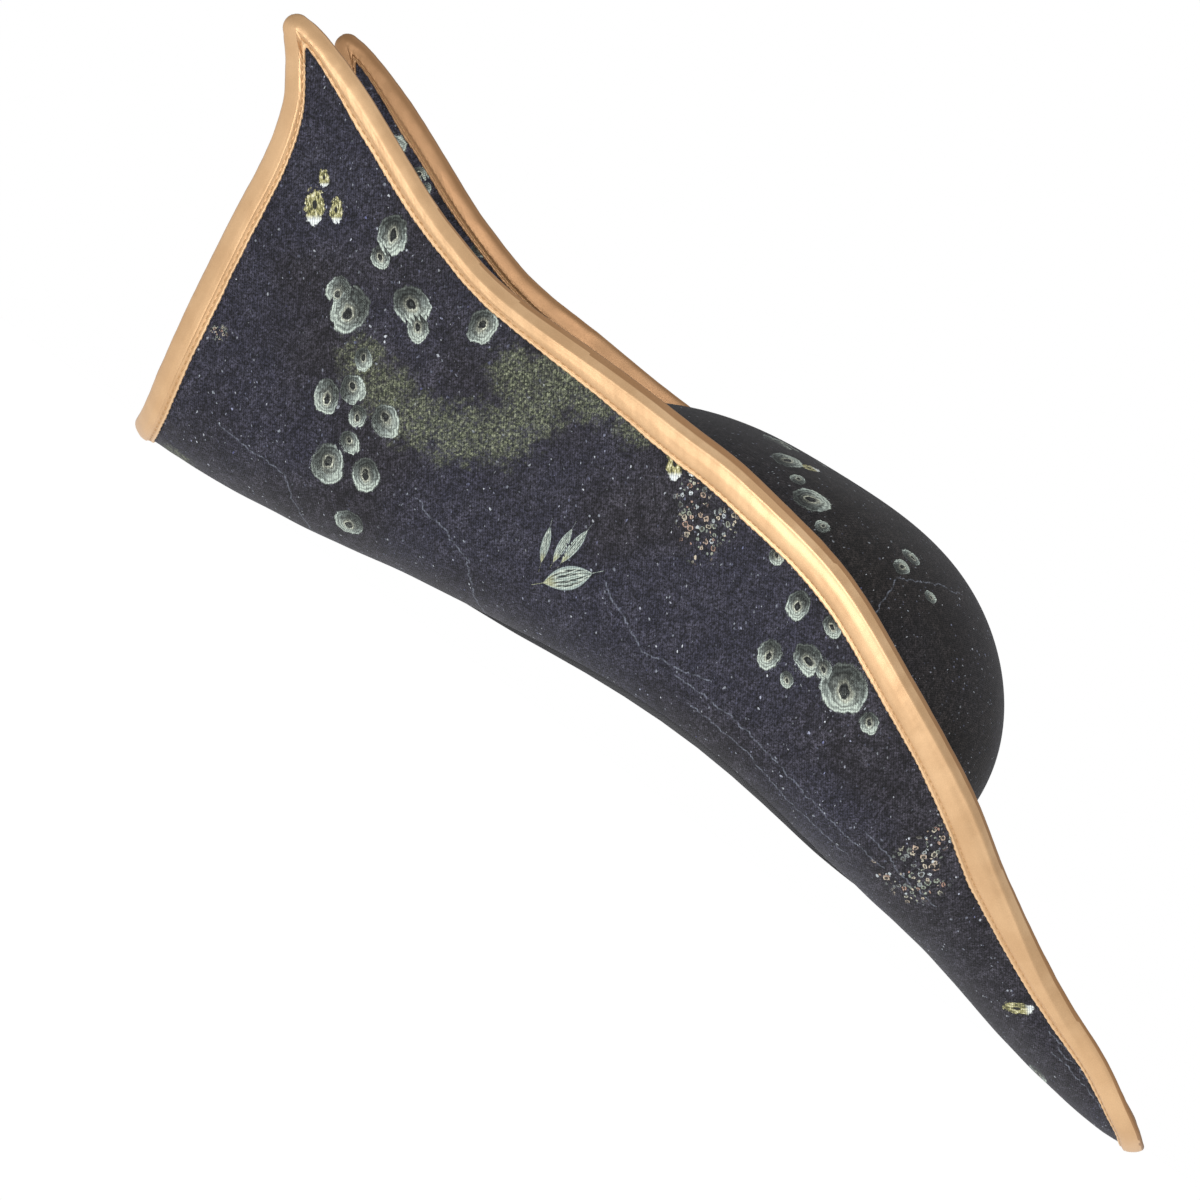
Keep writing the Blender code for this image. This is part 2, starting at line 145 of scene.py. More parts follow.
def waves(seed, shortest, longest, count=7):
    """A smooth, seeded height field over two coordinates in millimetres, mostly within -1 to 1."""
    rng = np.random.default_rng(seed)
    length = np.exp(rng.uniform(np.log(shortest), np.log(longest), count))
    heading, phase = rng.uniform(0, np.pi, count), rng.uniform(0, 2 * np.pi, count)

    def height(a, b):
        total = 0
        for one, way, start in zip(length, heading, phase, strict=True):
            total = total + np.sin((a * np.cos(way) + b * np.sin(way)) * 2 * np.pi / one + start)
        return total * 0.8 / np.sqrt(count)

    return height


# ---------------------------------------------------------------- brim shape

SLOW_SWAY = waves(11, 110, 300)
QUICK_SWAY = waves(12, 38, 90, 9)


def fold(q, y):
    """The brim's middle surface: q runs along a cross-section from the hat's midline."""
    side, q = np.sign(q), np.abs(q)
    flat, radius = through(FLOOR_HALF_WIDTH, y), through(BEND_RADIUS, y)
    lean = np.radians(through(WALL_LEAN_DEG, y))
    bend = np.clip((q - flat) / radius, 0, lean)
    rest = np.maximum(q - flat - radius * lean, 0)
    x = np.minimum(q, flat) + radius * np.sin(bend) + rest * np.cos(lean)
    z = through(FLOOR_HEIGHT, y) + radius * (1 - np.cos(bend)) + rest * np.sin(lean)
    beyond = np.maximum(q - through(SLUMP_START, y), 0) * (side < 0)
    z = z - through(SLUMP_TILT, y) * beyond ** 2 / (beyond + SLUMP_EASE)
    return np.stack([x * side, y + 0 * x, z], axis=-1)


def fold_normal(q, y):
    """Unit normal of the brim's middle surface on the side that faces the crown."""
    d = 0.05
    along = fold(q + d, y) - fold(q - d, y)
    back = fold(q, y + d) - fold(q, y - d)
    return unit(np.cross(along, back))


def sway(q, y):
    """How far the soft brim strays from its drawn shape, along its normal."""
    out = np.hypot(q / HEAD_HALF_WIDTH, y / HEAD_HALF_LENGTH) - 1
    free = smooth(out, 0.1, 1.1)
    return free * (0.5 * SLOW_SWAY(q, y) + 0.12 * QUICK_SWAY(q, y))


def brim_point(q, y, height=0.0):
    """A point off the brim's middle surface, on the crown's side where height is positive."""
    return fold(q, y) + fold_normal(q, y) * np.asarray(sway(q, y) + height)[..., None]


def section_length(y, z):
    """How far along the cross-section at y the brim reaches height z."""
    flat, radius = through(FLOOR_HALF_WIDTH, y), through(BEND_RADIUS, y)
    lean = np.radians(through(WALL_LEAN_DEG, y))
    rise = z - through(FLOOR_HEIGHT, y)
    bend = np.arccos(np.clip(1 - rise / radius, np.cos(lean), 1))
    rest = np.maximum(rise - radius * (1 - np.cos(lean)), 0)
    return flat + radius * bend + rest / np.sin(lean)


def dense(points, steps):
    """Catmull-Rom curve through points, not counting the first and last, which only guide it."""
    out = []
    for a, b, c, d in zip(points, points[1:], points[2:], points[3:], strict=False):
        for t in np.arange(steps) / steps:
            out.append(0.5 * ((2 * b) + (c - a) * t + (2 * a - 5 * b + 4 * c - d) * t * t
                              + (3 * b - a - 3 * c + d) * t ** 3))
    out.append(points[-2])
    return np.array(out)


def run_of(points):
    return np.concatenate([[0], np.cumsum(np.linalg.norm(np.diff(points, axis=0), axis=1))])


def between(marks, run, table):
    """Rows of a table, given along a run, read at marks on it."""
    return np.stack([np.interp(marks, run, column) for column in table.T], axis=1)


def at_zero(flat):
    """Points of a plane as points in space, at height 0."""
    return np.c_[flat, np.zeros(len(flat))]


def edge_outline():
    """The +X half of the brim edge in the section plane (q, y), from lip to tail, in even steps."""
    front = [np.array(p, float) for p in FRONT_EDGE]
    wing = [np.array([float(section_length(y, z)), y], float) for y, z in WING_EDGE]
    tail = [np.array(p, float) for p in TAIL_EDGE]
    line = front + wing + tail
    first, last = line[1] * (-1, 1), line[-2] * (-1, 1)
    rough = dense([first] + line + [last], 24)
    run = run_of(rough)
    return between(np.linspace(0, run[-1], 2000), run, rough)


OUTLINE = edge_outline()


def head_oval(turn, offset):
    return np.stack([(HEAD_HALF_WIDTH + offset) * np.cos(turn),
                     (HEAD_HALF_LENGTH + offset) * np.sin(turn)], axis=-1)


class BrimLoop:
    """Columns round the brim, from the lip over +X to the tail and back over -X. Each column runs
    on the cloth from the head opening to the edge."""

    def __init__(self, half_columns, root_offset):
        at = fold(OUTLINE[:, 0], OUTLINE[:, 1])
        normal = fold_normal(OUTLINE[:, 0], OUTLINE[:, 1])
        outward = unit(np.cross(unit(np.gradient(at, axis=0)), normal))
        bead = at + outward * TRIM_OUT[0][1]
        run = (run_of(at) + run_of(bead)) / 2
        marks = np.linspace(0, run[-1], half_columns + 1)
        edge = between(marks, run, OUTLINE)
        share = np.interp(marks, run, np.arange(len(run)) / (len(run) - 1))
        root = head_oval(np.pi * (share - 0.5), root_offset)
        root[:, 0] += SIDE_SLOPE_ALLOWANCE * np.cos(np.pi * (share - 0.5))
        root[[0, -1], 0] = 0
        self.half = half_columns
        self.tip = int(np.argmin(edge[:, 1]))
        self.steps = np.linspace(0.5, 1, 111)
        coarse = np.concatenate([OUTLINE[::3], OUTLINE[::3] * (-1, 1)])
        away = np.array([
            np.linalg.norm((root + (edge - root) * t)[:, None] - coarse[None], axis=2).min(axis=1)
            for t in self.steps])
        away[-1] = 0
        away = np.maximum.accumulate(away[::-1], axis=0)[::-1]
        self.away = self.both(away.T)
        self.edge, self.root = self.both(edge, True), self.both(root, True)
        self.run = self.both(np.interp(marks, run, run_of(at)))

    def both(self, values, mirror=False):
        """Values of the +X half followed by those of the -X half."""
        back = values[-2:0:-1]
        return np.concatenate([values, back * (-1, 1) if mirror else back])

    def take(self, values, cuts):
        """Values at fractional column numbers, which may go round past either end."""
        low = np.floor(cuts).astype(int)
        share = (cuts - low).reshape((-1,) + (1,) * (values.ndim - 1))
        count = len(values)
        return values[low % count] * (1 - share) + values[(low + 1) % count] * share

    def share_at(self, cuts, inset):
        """How far from root to edge, 0 to 1, a column is at a distance in from the edge."""
        away = self.take(self.away, cuts)
        inset = np.broadcast_to(inset, np.shape(cuts))
        return np.array([np.interp(s, a[::-1], self.steps[::-1])
                         for s, a in zip(inset, away, strict=True)])

    def on_cloth(self, cuts, share):
        """(q, y) at a share of the way from root to edge."""
        root, edge = self.take(self.root, cuts), self.take(self.edge, cuts)
        return root + (edge - root) * np.asarray(share)[..., None]

    def inset(self, cuts, distance):
        return self.on_cloth(cuts, self.share_at(cuts, distance))


def pinch(inset, y):
    """Half the thickness of the padded brim at a distance in from its edge."""
    reach = through(TRIM_REACH, y)
    return PINCHED_HALF + (FULL_HALF - PINCHED_HALF) * smooth(inset, reach - 1, reach + PINCH_REACH)


# ---------------------------------------------------------------- crown shape


def band_foot(turn, offset):
    """Height of the brim's middle surface where the oval crosses it."""
    at = head_oval(turn, offset)
    return fold(at[..., 0], at[..., 1])[..., 2]


def crown_foot(turn):
    over = COVER_WALL + GAP + FOAM_WALL + GAP + LINING_WALL
    return band_foot(turn, STACK_OFFSET + over) + FOAM_WALL / 2 + GAP + COVER_WALL + CROWN_LIFT


def crown_surface(turn, rise):
    """The dome at a turn about the head and a rise from 0 at the foot to 1 at the top."""
    angle = rise * np.pi / 2
    shrink = np.maximum(np.cos(angle), 0) ** (2 / CROWN_SQUARENESS)
    climb = np.sin(angle) ** (2 / CROWN_SQUARENESS)
    swell = CROWN_SIDE_BULGE + (CROWN_BULGE - CROWN_SIDE_BULGE) * np.sin(turn) ** 2
    swell = swell * np.sin(np.pi * np.clip(climb, 0, 1)) ** 1.3
    foot = crown_foot(turn)
    at = head_oval(turn, STACK_OFFSET + swell) * shrink[..., None]
    top = CROWN_TOP * (1 + CROWN_REAR_RISE * at[..., 1] / 100)
    return np.stack([at[..., 0], at[..., 1], foot + (top - foot) * climb], axis=-1)


def crown_normal(turn, rise):
    d = 1e-3
    rise = np.clip(rise, 0.02, 0.98)
    along = crown_surface(turn + d, rise) - crown_surface(turn - d, rise)
    up = crown_surface(turn, rise + d) - crown_surface(turn, rise - d)
    return unit(np.cross(along, up))


def even_rises(rows):
    """Rises that step evenly over the dome's side, without the top point itself."""
    fine = np.linspace(0, 1, 1500)
    run = run_of(crown_surface(np.full(len(fine), 0.7), fine))
    return np.interp(np.linspace(0, run[-1], rows + 1)[:-1], run, fine)


# ---------------------------------------------------------------- meshes


def grid(rows, columns, closed_rows, closed_columns):
    """Quads of a grid of points, row by row."""
    r, c = np.meshgrid(np.arange(rows if closed_rows else rows - 1),
                       np.arange(columns if closed_columns else columns - 1), indexing="ij")
    r, c = r.ravel(), c.ravel()
    r2, c2 = (r + 1) % rows, (c + 1) % columns
    return np.stack([r * columns + c, r * columns + c2, r2 * columns + c2, r2 * columns + c],
                    axis=1)


def add_piece(name, points, groups, look, node, sharp=55):
    """A mesh object in place of a CAD node, from points in millimetres and groups of faces, with
    its normals outward."""
    points = np.asarray(points, float).reshape(-1, 3)
    volume = 0.0
    for faces in groups:
        for k in range(1, faces.shape[1] - 1):
            a, b, c = points[faces[:, 0]], points[faces[:, k]], points[faces[:, k + 1]]
            volume += np.einsum("ij,ij->i", a, np.cross(b, c)).sum()
    turn = 1 if volume > 0 else -1
    mesh = bpy.data.meshes.new(name)
    mesh.from_pydata((points * MM).tolist(), [],
                     [face for faces in groups for face in faces[:, ::turn].tolist()])
    mesh.shade_smooth()
    mesh.set_sharp_from_angle(angle=np.radians(sharp))
    piece = bpy.data.objects.new(name, mesh)
    bpy.context.scene.collection.objects.link(piece)
    mesh.materials.append(look)
    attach(piece, "root")
    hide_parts(node)
    return piece


def point_vectors(piece, name, values):
    """Gives a piece's points a vector each, for its material to read."""
    held = piece.data.attributes.new(name, "FLOAT_VECTOR", "POINT")
    held.data.foreach_set("vector", np.asarray(values, np.float32).reshape(-1))


# ---------------------------------------------------------------- print

BARNACLE_WAY = np.radians(-36)
# Places on the flat cloth as (q, y, size), q being how far out from the midline
BARNACLES = (
    (184, -175, 7), (175, -174, 4), (154, -172, 8), (157, -179, 5), (167, -155, 7), (162, -149, 5),
    (174, -131, 6), (142, -158, 4), (124, -161, 6), (131, -155, 5), (124, -148, 4), (128, -139, 6),
    (115, -145, 4), (104, -147, 7), (108, -134, 6), (86, -130, 6),
    (162, -2, 3), (152, 14, 5), (152, 28, 4), (132, 16, 5), (138, 28, 6), (128, 26, 3),
    (136, 44, 9), (138, 34, 4), (130, 58, 4))
SHELLS = ((176, -203, 6), (186, -206, 3), (179, -196, 4), (168, -49, 5), (172, -45, 4),
          (50, 164, 5))
FRAGMENTS = ((163, -38, 6), (157, -31, 7), (160, -24, 6), (150, -26, 6), (83, 97, 8), (94, 100, 7),
             (103, 102, 5), (85, 108, 7), (78, 106, 6), (120, -205, 3))
# Leaves as (q, y, length, width, turn in degrees)
LEAVES = ((114, -56, 8.8, 4.4, 43), (119.5, -69, 6.6, 1.5, -21), (122.5, -64, 6.7, 1.7, -6),
          (124.5, -60.5, 7.3, 1.8, 3))
MOSS = ((142, -158, 9), (137, -144, 10), (134, -130, 11), (137, -116, 12), (145, -104, 12),
        (158, -100, 12), (172, -98, 11), (170, -84, 8), (172, -68, 8), (166, -112, 10))
CRACKS = (
    ((92, -182), (91, -158), (70, -142), (38, -126)),
    ((108, -110), (99, -88), (74, -74), (46, -62)),
    ((108, -4), (105, 24), (98, 48), (89, 72), (84, 90)),
    ((100, 8), (97, 30), (88, 50), (80, 76)),
    ((92, 84), (85, 98), (78, 112)),
    ((118, -40), (108, -20), (112, 0)),
    ((42, 186), (37, 200), (31, 214)),
    ((38, 188), (33, 202), (28, 213)),
    ((46, 182), (41, 196), (34, 210)))


def scattered(seed, count, box, sizes, clear=()):
    """Seeded (x, y, size) places inside a box, kept apart from each other and from given places."""
    rng = np.random.default_rng(seed)
    found = list(clear)
    for _ in range(count * 30):
        if len(found) - len(clear) >= count:
            break
        one = (rng.uniform(box[0], box[1]), rng.uniform(box[2], box[3]), rng.uniform(*sizes))
        if all(np.hypot(one[0] - p[0], one[1] - p[1]) > (one[2] + p[2]) * 1.05 for p in found):
            found.append(one)
    return found[len(clear):]


def clumps(seed, count, box, sizes):
    """Seeded groups of places: a few big ones with smaller ones beside them."""
    rng = np.random.default_rng(seed)
    found = []
    for x, y, size in scattered(seed + 50, count, box, (sizes[1] * 1.6, sizes[1] * 2.4)):
        for k in range(rng.integers(3, 7)):
            way, off = rng.uniform(0, 2 * np.pi), size * rng.uniform(0.1, 1)
            found.append((x + off * np.cos(way), y + off * np.sin(way),
                          rng.uniform(*sizes) * (1 if k == 0 else 0.7)))
    return found


FAR = 9.0  # what a corner holds where no motif is near
CRACK_REACH = 5.0


def local_spots(corner, centre, spots):
    """Each face's corners in the nearest spot's own units, and the spot's number."""
    best = np.full(len(centre), 1.35)
    owner = np.full(len(centre), -1)
    for number, spot in enumerate(spots):
        away = np.hypot(centre[:, 0] - spot[0], centre[:, 1] - spot[1]) / spot[2]
        nearer = away < best
        best[nearer], owner[nearer] = away[nearer], number
    table = np.array([s[:3] for s in spots])[owner]
    local = (corner - table[:, None, :2]) / table[:, None, 2:3]
    number = np.broadcast_to(owner[:, None, None], local.shape[:2] + (1,))
    out = np.concatenate([local, number], axis=2)
    out[owner < 0] = (FAR, FAR, 0)
    return out


def local_leaves(corner, centre, leaves):
    """Corners in the nearest leaf's own units: along it and across it, each from -1 to 1."""
    best = np.full(len(centre), 1.5)
    out = np.full(corner.shape[:2] + (3,), FAR)
    for number, (x, y, length, width, turn) in enumerate(leaves):
        way = np.radians(turn)
        axes = np.array([[np.cos(way) / length, -np.sin(way) / width],
                         [np.sin(way) / length, np.cos(way) / width]])
        middle = (centre - (x, y)) @ axes
        away = np.hypot(middle[:, 0], middle[:, 1])
        nearer = away < best
        best[nearer] = away[nearer]
        out[nearer, :, :2] = ((corner - (x, y)) @ axes)[nearer]
        out[nearer, :, 2] = number
    return out


def local_cracks(corner, centre, cracks):
    """Corners as millimetres across and along the nearest crack, and the crack's number."""
    best = np.full(len(centre), CRACK_REACH)
    out = np.full(corner.shape[:2] + (3,), FAR)
    for number, crack in enumerate(cracks):
        line = np.array(crack, float)
        start = 0.0
        for a, b in zip(line, line[1:], strict=False):
            long = np.linalg.norm(b - a)
            way = (b - a) / long
            side = np.array([-way[1], way[0]])
            along = (centre - a) @ way
            away = np.hypot((centre - a) @ side, along - np.clip(along, 0, long))
            nearer = away < best
            best[nearer] = away[nearer]
            out[nearer, :, 0] = ((corner - a) @ side)[nearer]
            out[nearer, :, 1] = start + ((corner - a) @ way)[nearer]
            out[nearer, :, 2] = number
            start += long
    return out


def moss_amount(at, spots):
    """How near each place is to a patch of moss: 1 at its middle, 0 well outside it."""
    amount = np.zeros(len(at))
    for x, y, size in spots:
        amount = np.maximum(amount, 1 - np.hypot(at[:, 0] - x, at[:, 1] - y) / (1.6 * size))
    return np.clip(amount, 0, 1)


def lay_print(piece, flat, printed_faces, spots):
    """Gives a cloth its print coordinates: flat is each point's place on the flat cloth, and only
    the first printed_faces faces, its outer side, carry motifs."""
    mesh = piece.data
    points_of = np.empty(len(mesh.loops), np.int32)
    mesh.loops.foreach_get("vertex_index", points_of)
    flat = np.asarray(flat, float).reshape(-1, 2)
    point_vectors(piece, "cloth", at_zero(flat))
    starts = np.array([p.loop_start for p in mesh.polygons[:printed_faces]])
    totals = np.array([p.loop_total for p in mesh.polygons[:printed_faces]])
    quads = totals == 4
    loops = starts[quads][:, None] + np.arange(4)
    corner = flat[points_of[loops]]
    centre = corner.mean(axis=1)
    for name, values in (("barnacle", local_spots(corner, centre, spots["barnacles"])),
                         ("shell", local_spots(corner, centre, spots["shells"])),
                         ("fragment", local_spots(corner, centre, spots["fragments"])),
                         ("leaf", local_leaves(corner, centre, spots["leaves"])),
                         ("crack", local_cracks(corner, centre, spots["cracks"]))):
        whole = np.full((len(points_of), 3), FAR, np.float32)
        whole[loops.ravel()] = values.reshape(-1, 3)
        held = mesh.attributes.new(name, "FLOAT_VECTOR", "CORNER")
        held.data.foreach_set("vector", whole.ravel())
    held = mesh.attributes.new("moss", "FLOAT", "POINT")
    held.data.foreach_set("value", moss_amount(flat, spots["moss"]).astype(np.float32))


# ---------------------------------------------------------------- materials


def arithmetic(operation, turned=False):
    def work(self, other):
        return self.graph.math(operation, *((other, self) if turned else (self, other)))
    return work


class Signal:
    """A number that a material's nodes work out, for use in plain arithmetic."""

    def __init__(self, graph, socket):
        self.graph, self.socket = graph, socket

    __add__ = __radd__ = arithmetic("ADD")
    __mul__ = __rmul__ = arithmetic("MULTIPLY")
    __sub__, __rsub__ = arithmetic("SUBTRACT"), arithmetic("SUBTRACT", True)
    __truediv__, __pow__ = arithmetic("DIVIDE"), arithmetic("POWER")

    def __abs__(self):
        return self.graph.math("ABSOLUTE", self)

    def sine(self):
        return self.graph.math("SINE", self)

    def cosine(self):
        return self.graph.math("COSINE", self)


class Graph:
    """A small writer of material nodes."""

    def __init__(self, name):
        self.material = bpy.data.materials.new(name)
        self.material.use_nodes = True
        self.tree = self.material.node_tree
        self.shader = self.tree.nodes["Principled BSDF"]

    def put(self, socket, value):
        if isinstance(value, Signal):
            value = value.socket
        if isinstance(value, bpy.types.NodeSocket):
            self.tree.links.new(value, socket)
        elif hasattr(socket.default_value, "__len__") and len(socket.default_value) == 4:
            socket.default_value = (*value[:3], 1)
        else:
            socket.default_value = value

    def node(self, kind, inputs=(), **settings):
        made = self.tree.nodes.new(kind)
        for key, value in settings.items():
            setattr(made, key, value)
        for key, value in dict(inputs).items():
            self.put(made.inputs[key], value)
        return made

    def field(self, name, output="Vector"):
        return self.node("ShaderNodeAttribute", attribute_name=name).outputs[output]

    def millimetres(self):
        place = self.node("ShaderNodeTexCoord").outputs["Object"]
        return self.scaled(place, 1 / MM)

    def math(self, operation, *values):
        made = self.node("ShaderNodeMath", enumerate(values), operation=operation)
        return Signal(self, made.outputs[0])

    def vector(self, operation, *values):
        return self.node("ShaderNodeVectorMath", enumerate(values), operation=operation)

    def scaled(self, vector, factor):
        made = self.vector("SCALE", vector)
        self.put(made.inputs["Scale"], factor)
        return made.outputs[0]

    def parts(self, vector):
        made = self.node("ShaderNodeSeparateXYZ", {0: vector})
        return [Signal(self, socket) for socket in made.outputs]

    def joined(self, x, y, z=0.0):
        return self.node("ShaderNodeCombineXYZ", {0: x, 1: y, 2: z}).outputs[0]

    def length(self, x, y):
        return Signal(self, self.vector("LENGTH", self.joined(x, y)).outputs["Value"])

    def turned(self, u, v, way):
        """Distances along and across a heading."""
        cos, sin = way.cosine(), way.sine()
        return u * cos + v * sin, v * cos - u * sin

    def noise(self, vector, scale, detail=3.0, roughness=0.55):
        made = self.node("ShaderNodeTexNoise", {"Vector": vector, "Scale": scale,
                                                "Detail": detail, "Roughness": roughness})
        return Signal(self, made.outputs["Fac"])

    def cells(self, vector, scale):
        """The distance to the nearest cell's centre, and that cell's three chances."""
        made = self.node("ShaderNodeTexVoronoi", {"Vector": vector, "Scale": scale})
        return Signal(self, made.outputs["Distance"]), self.parts(made.outputs["Color"])

    def step(self, value, low, high, out_low=0.0, out_high=1.0):
        """A smooth step, which falls where low is above high."""
        if low > high:
            low, high, out_low, out_high = high, low, out_high, out_low
        made = self.node("ShaderNodeMapRange", {"Value": value, "From Min": low, "From Max": high,
                                                "To Min": out_low, "To Max": out_high},
                         interpolation_type="SMOOTHSTEP")
        return Signal(self, made.outputs["Result"])

    def mix(self, amount, a, b, blend="MIX"):
        made = self.node("ShaderNodeMix", data_type="RGBA", blend_type=blend)
        for socket, value in zip((made.inputs[0], made.inputs[6], made.inputs[7]), (amount, a, b),
                                 strict=True):
            self.put(socket, value)
        return made.outputs[2]

    def shaded(self, colour, level):
        return self.mix(1.0, colour, self.joined(level, level, level), "MULTIPLY")

    def ramp(self, value, *stops):
        """A colour ramp from stops of (place, red, green, blue)."""
        made = self.node("ShaderNodeValToRGB", {"Fac": value})
        elements = made.color_ramp.elements
        while len(elements) < len(stops):
            elements.new(0.5)
        for element, (place, *colour) in zip(elements, stops, strict=True):
            element.position = place
            element.color = (*colour, 1)
        return made.outputs["Color"]

    def finish(self, colour, roughness, height=None, distance=0.1, **constants):
        """Links the shader. Constants are set on its own sockets."""
        self.put(self.shader.inputs["Base Color"], colour)
        self.put(self.shader.inputs["Roughness"], roughness)
        for key, value in constants.items():
            self.put(self.shader.inputs[key.replace("_", " ")], value)
        if height is not None:
            bump = self.node("ShaderNodeBump", {"Height": height, "Distance": distance * MM})
            self.put(self.shader.inputs["Normal"], bump.outputs[0])
        return self.material


def print_barnacles(g, under):
    """Stone-grey plates in rings about a dark mouth, each barnacle stretched its own way and paler
    on one side."""
    u, v, number = g.parts(g.field("barnacle"))
    chance = g.parts(g.node("ShaderNodeTexWhiteNoise", {"W": number},
                            noise_dimensions="1D").outputs["Color"])
    along, across = g.turned(u, v, chance[0] * 0.9 + (BARNACLE_WAY - 0.45))
    across = across / (chance[1] * 0.24 + 0.70)
    along = along * 0.90
    seat = g.joined(along, across, number * 3.7)
    wobble = (g.noise(seat, 1.5, 2.0) - 0.5) * 0.5 + (g.noise(seat, 4.5, 3.0, 0.7) - 0.5) * 0.28
    spread = g.length(along, across)
    mouth = g.length((chance[2] - 0.5) * 0.55 + along, across * 1.25)
    inward = g.step(spread, 0.25, 0.85)
    radius = wobble + (spread * inward + mouth * (1.0 - inward))
    rings = g.ramp(radius, (0.0, 0.030, 0.034, 0.032), (0.14, 0.010, 0.011, 0.012),
                   (0.27, 0.014, 0.016, 0.016), (0.35, 0.36, 0.37, 0.30),
                   (0.43, 0.19, 0.205, 0.17), (0.50, 0.050, 0.056, 0.052),
                   (0.58, 0.14, 0.155, 0.14), (0.64, 0.060, 0.068, 0.064),
                   (0.78, 0.12, 0.14, 0.13), (0.92, 0.20, 0.23, 0.21), (1.0, 0.040, 0.046, 0.048))
    heading = g.vector("NORMALIZE", g.joined(along, across)).outputs[0]
    ray = g.noise(g.vector("ADD", g.scaled(heading, 3.0), g.scaled(seat, 0.5)).outputs[0],
                  2.2, 4.0, 0.75)
    stone = g.noise(g.field("cloth"), 0.9, 4.0, 0.75)
    strokes = (radius * 30.0 + g.noise(seat, 2.0, 3.0) * 11.0).sine()
    light = chance[2] * 2.6 + 1.2
    lit = (ray - 0.5) * 1.6 + (u * light.cosine() + v * light.sine())
    level = g.step(strokes, -0.6, 0.9, 0.55, 1.50) * g.step(stone, 0.35, 0.65, 0.70, 1.30)
    plates = g.shaded(rings, level * g.step(lit, -0.75, 0.6, 0.30, 1.9))
    chalk = g.step(lit, 0.15, 0.65, 0.0, 0.9) * g.step(strokes, -0.5, 0.5, 0.25, 1.0)
    plates = g.mix(chalk * g.step(radius, 0.27, 0.34), plates, (0.50, 0.57, 0.50))
    shown = g.step(radius, 1.03, 0.93) * g.step(stone, 0.28, 0.45, 0.55, 1.0)
    return g.mix(shown, under, plates)


def print_shells(g, under):
    """Chipped yellow shell with a dark mouth and a white lower end."""
    u, v, number = g.parts(g.field("shell"))
    way = g.step(number, 4.4, 4.6, BARNACLE_WAY, BARNACLE_WAY - np.pi / 2)
    long, wide = g.turned(u, v, way)
    seat = g.joined(long, wide, number * 5.1)
    radius = (g.noise(seat, 1.7, 4.0, 0.75) - 0.5) * 1.5 + g.length(long * 0.78, wide * 1.5)
    streak = g.noise(g.joined(long * 1.4, wide * 4.6, number), 1.5, 4.0, 0.8)
    tone = g.ramp(streak, (0.38, 0.025, 0.026, 0.016), (0.46, 0.13, 0.125, 0.055),
                  (0.53, 0.46, 0.43, 0.18), (0.62, 0.88, 0.87, 0.68), (0.74, 0.30, 0.18, 0.10))
    tone = g.mix(g.step(long, -0.45, -0.85, 0.0, 0.8), tone, (0.80, 0.86, 0.88))
    mouth = g.length(long - 0.1, wide * 1.9)
    colour = g.mix(g.step(mouth, 0.34, 0.22), tone, (0.020, 0.020, 0.018))
    return g.mix(g.step(radius, 0.88, 0.78, 0.0, 0.95), under, colour)


def print_fragments(g, under):
    """A loose scatter of small pink, cream and grey crumbs."""
    u, v, number = g.parts(g.field("fragment"))
    layer = number * 2.3
    torn = g.noise(g.joined(u, v, layer), 3.4, 3.0, 0.7)
    off, pick = g.cells(g.joined(torn * 0.45 + u, torn * -0.35 + v, layer), 3.3)
    inside = pick[0] * 0.42 + 0.16 - off
    tone = g.ramp(pick[1], (0.0, 0.42, 0.25, 0.19), (0.3, 0.58, 0.52, 0.40),
                  (0.6, 0.30, 0.35, 0.28), (0.8, 0.16, 0.18, 0.17), (1.0, 0.62, 0.68, 0.70))
    near = g.step(g.length(u, v), 1.25, 0.75)
    shown = g.step(inside, 0.0, 0.08) * near * 0.92
    return g.mix(shown, under, g.mix(g.step(inside, 0.24, 0.13), (0.05, 0.045, 0.04), tone))


def print_leaves(g, under):
    """Pale ribbed blades that taper at both ends."""
    along, across, number = g.parts(g.field("leaf"))
    fill = abs(across) / g.math("MAXIMUM", 1.0 - along * along, 0.02)
    ribs = (fill * 19.0 + number * 2.0).sine()
    grain = g.noise(g.joined(along * 1.5, across * 5.0, number), 1.8, 3.0, 0.7)
    tone = g.mix(g.step(ribs, 0.0, 0.9), (0.030, 0.038, 0.036), (0.34, 0.42, 0.38))
    tone = g.mix(g.step(grain, 0.46, 0.62), tone, (0.56, 0.62, 0.54))
    tone = g.mix(g.step(along, -0.35, -0.8, 0.0, 0.5), tone, (0.40, 0.38, 0.16))
    colour = g.mix(g.step(fill, 0.76, 0.9), tone, (0.34, 0.41, 0.39))
    return g.mix(g.step(fill, 1.02, 0.9) * g.step(grain, 0.25, 0.45, 0.35, 0.95), under, colour)


def print_cracks(g, under):
    """Thin broken lines that wander about each crack's route."""
    across, along, number = g.parts(g.field("crack"))
    drift = (g.noise(g.joined(along * 0.16, number * 7.7), 1.0, 5.0, 0.65) - 0.5) * 6.0
    line = g.step(abs(across - drift), 0.42, 0.12)
    broken = g.step(g.noise(g.joined(along * 0.35, number, 3.0), 1.0, 3.0), 0.4, 0.6)
    near = g.step(abs(across), 4.6, 3.6)
    return g.mix(line * near * (broken * 0.55 + 0.1), under, (0.20, 0.22, 0.27))


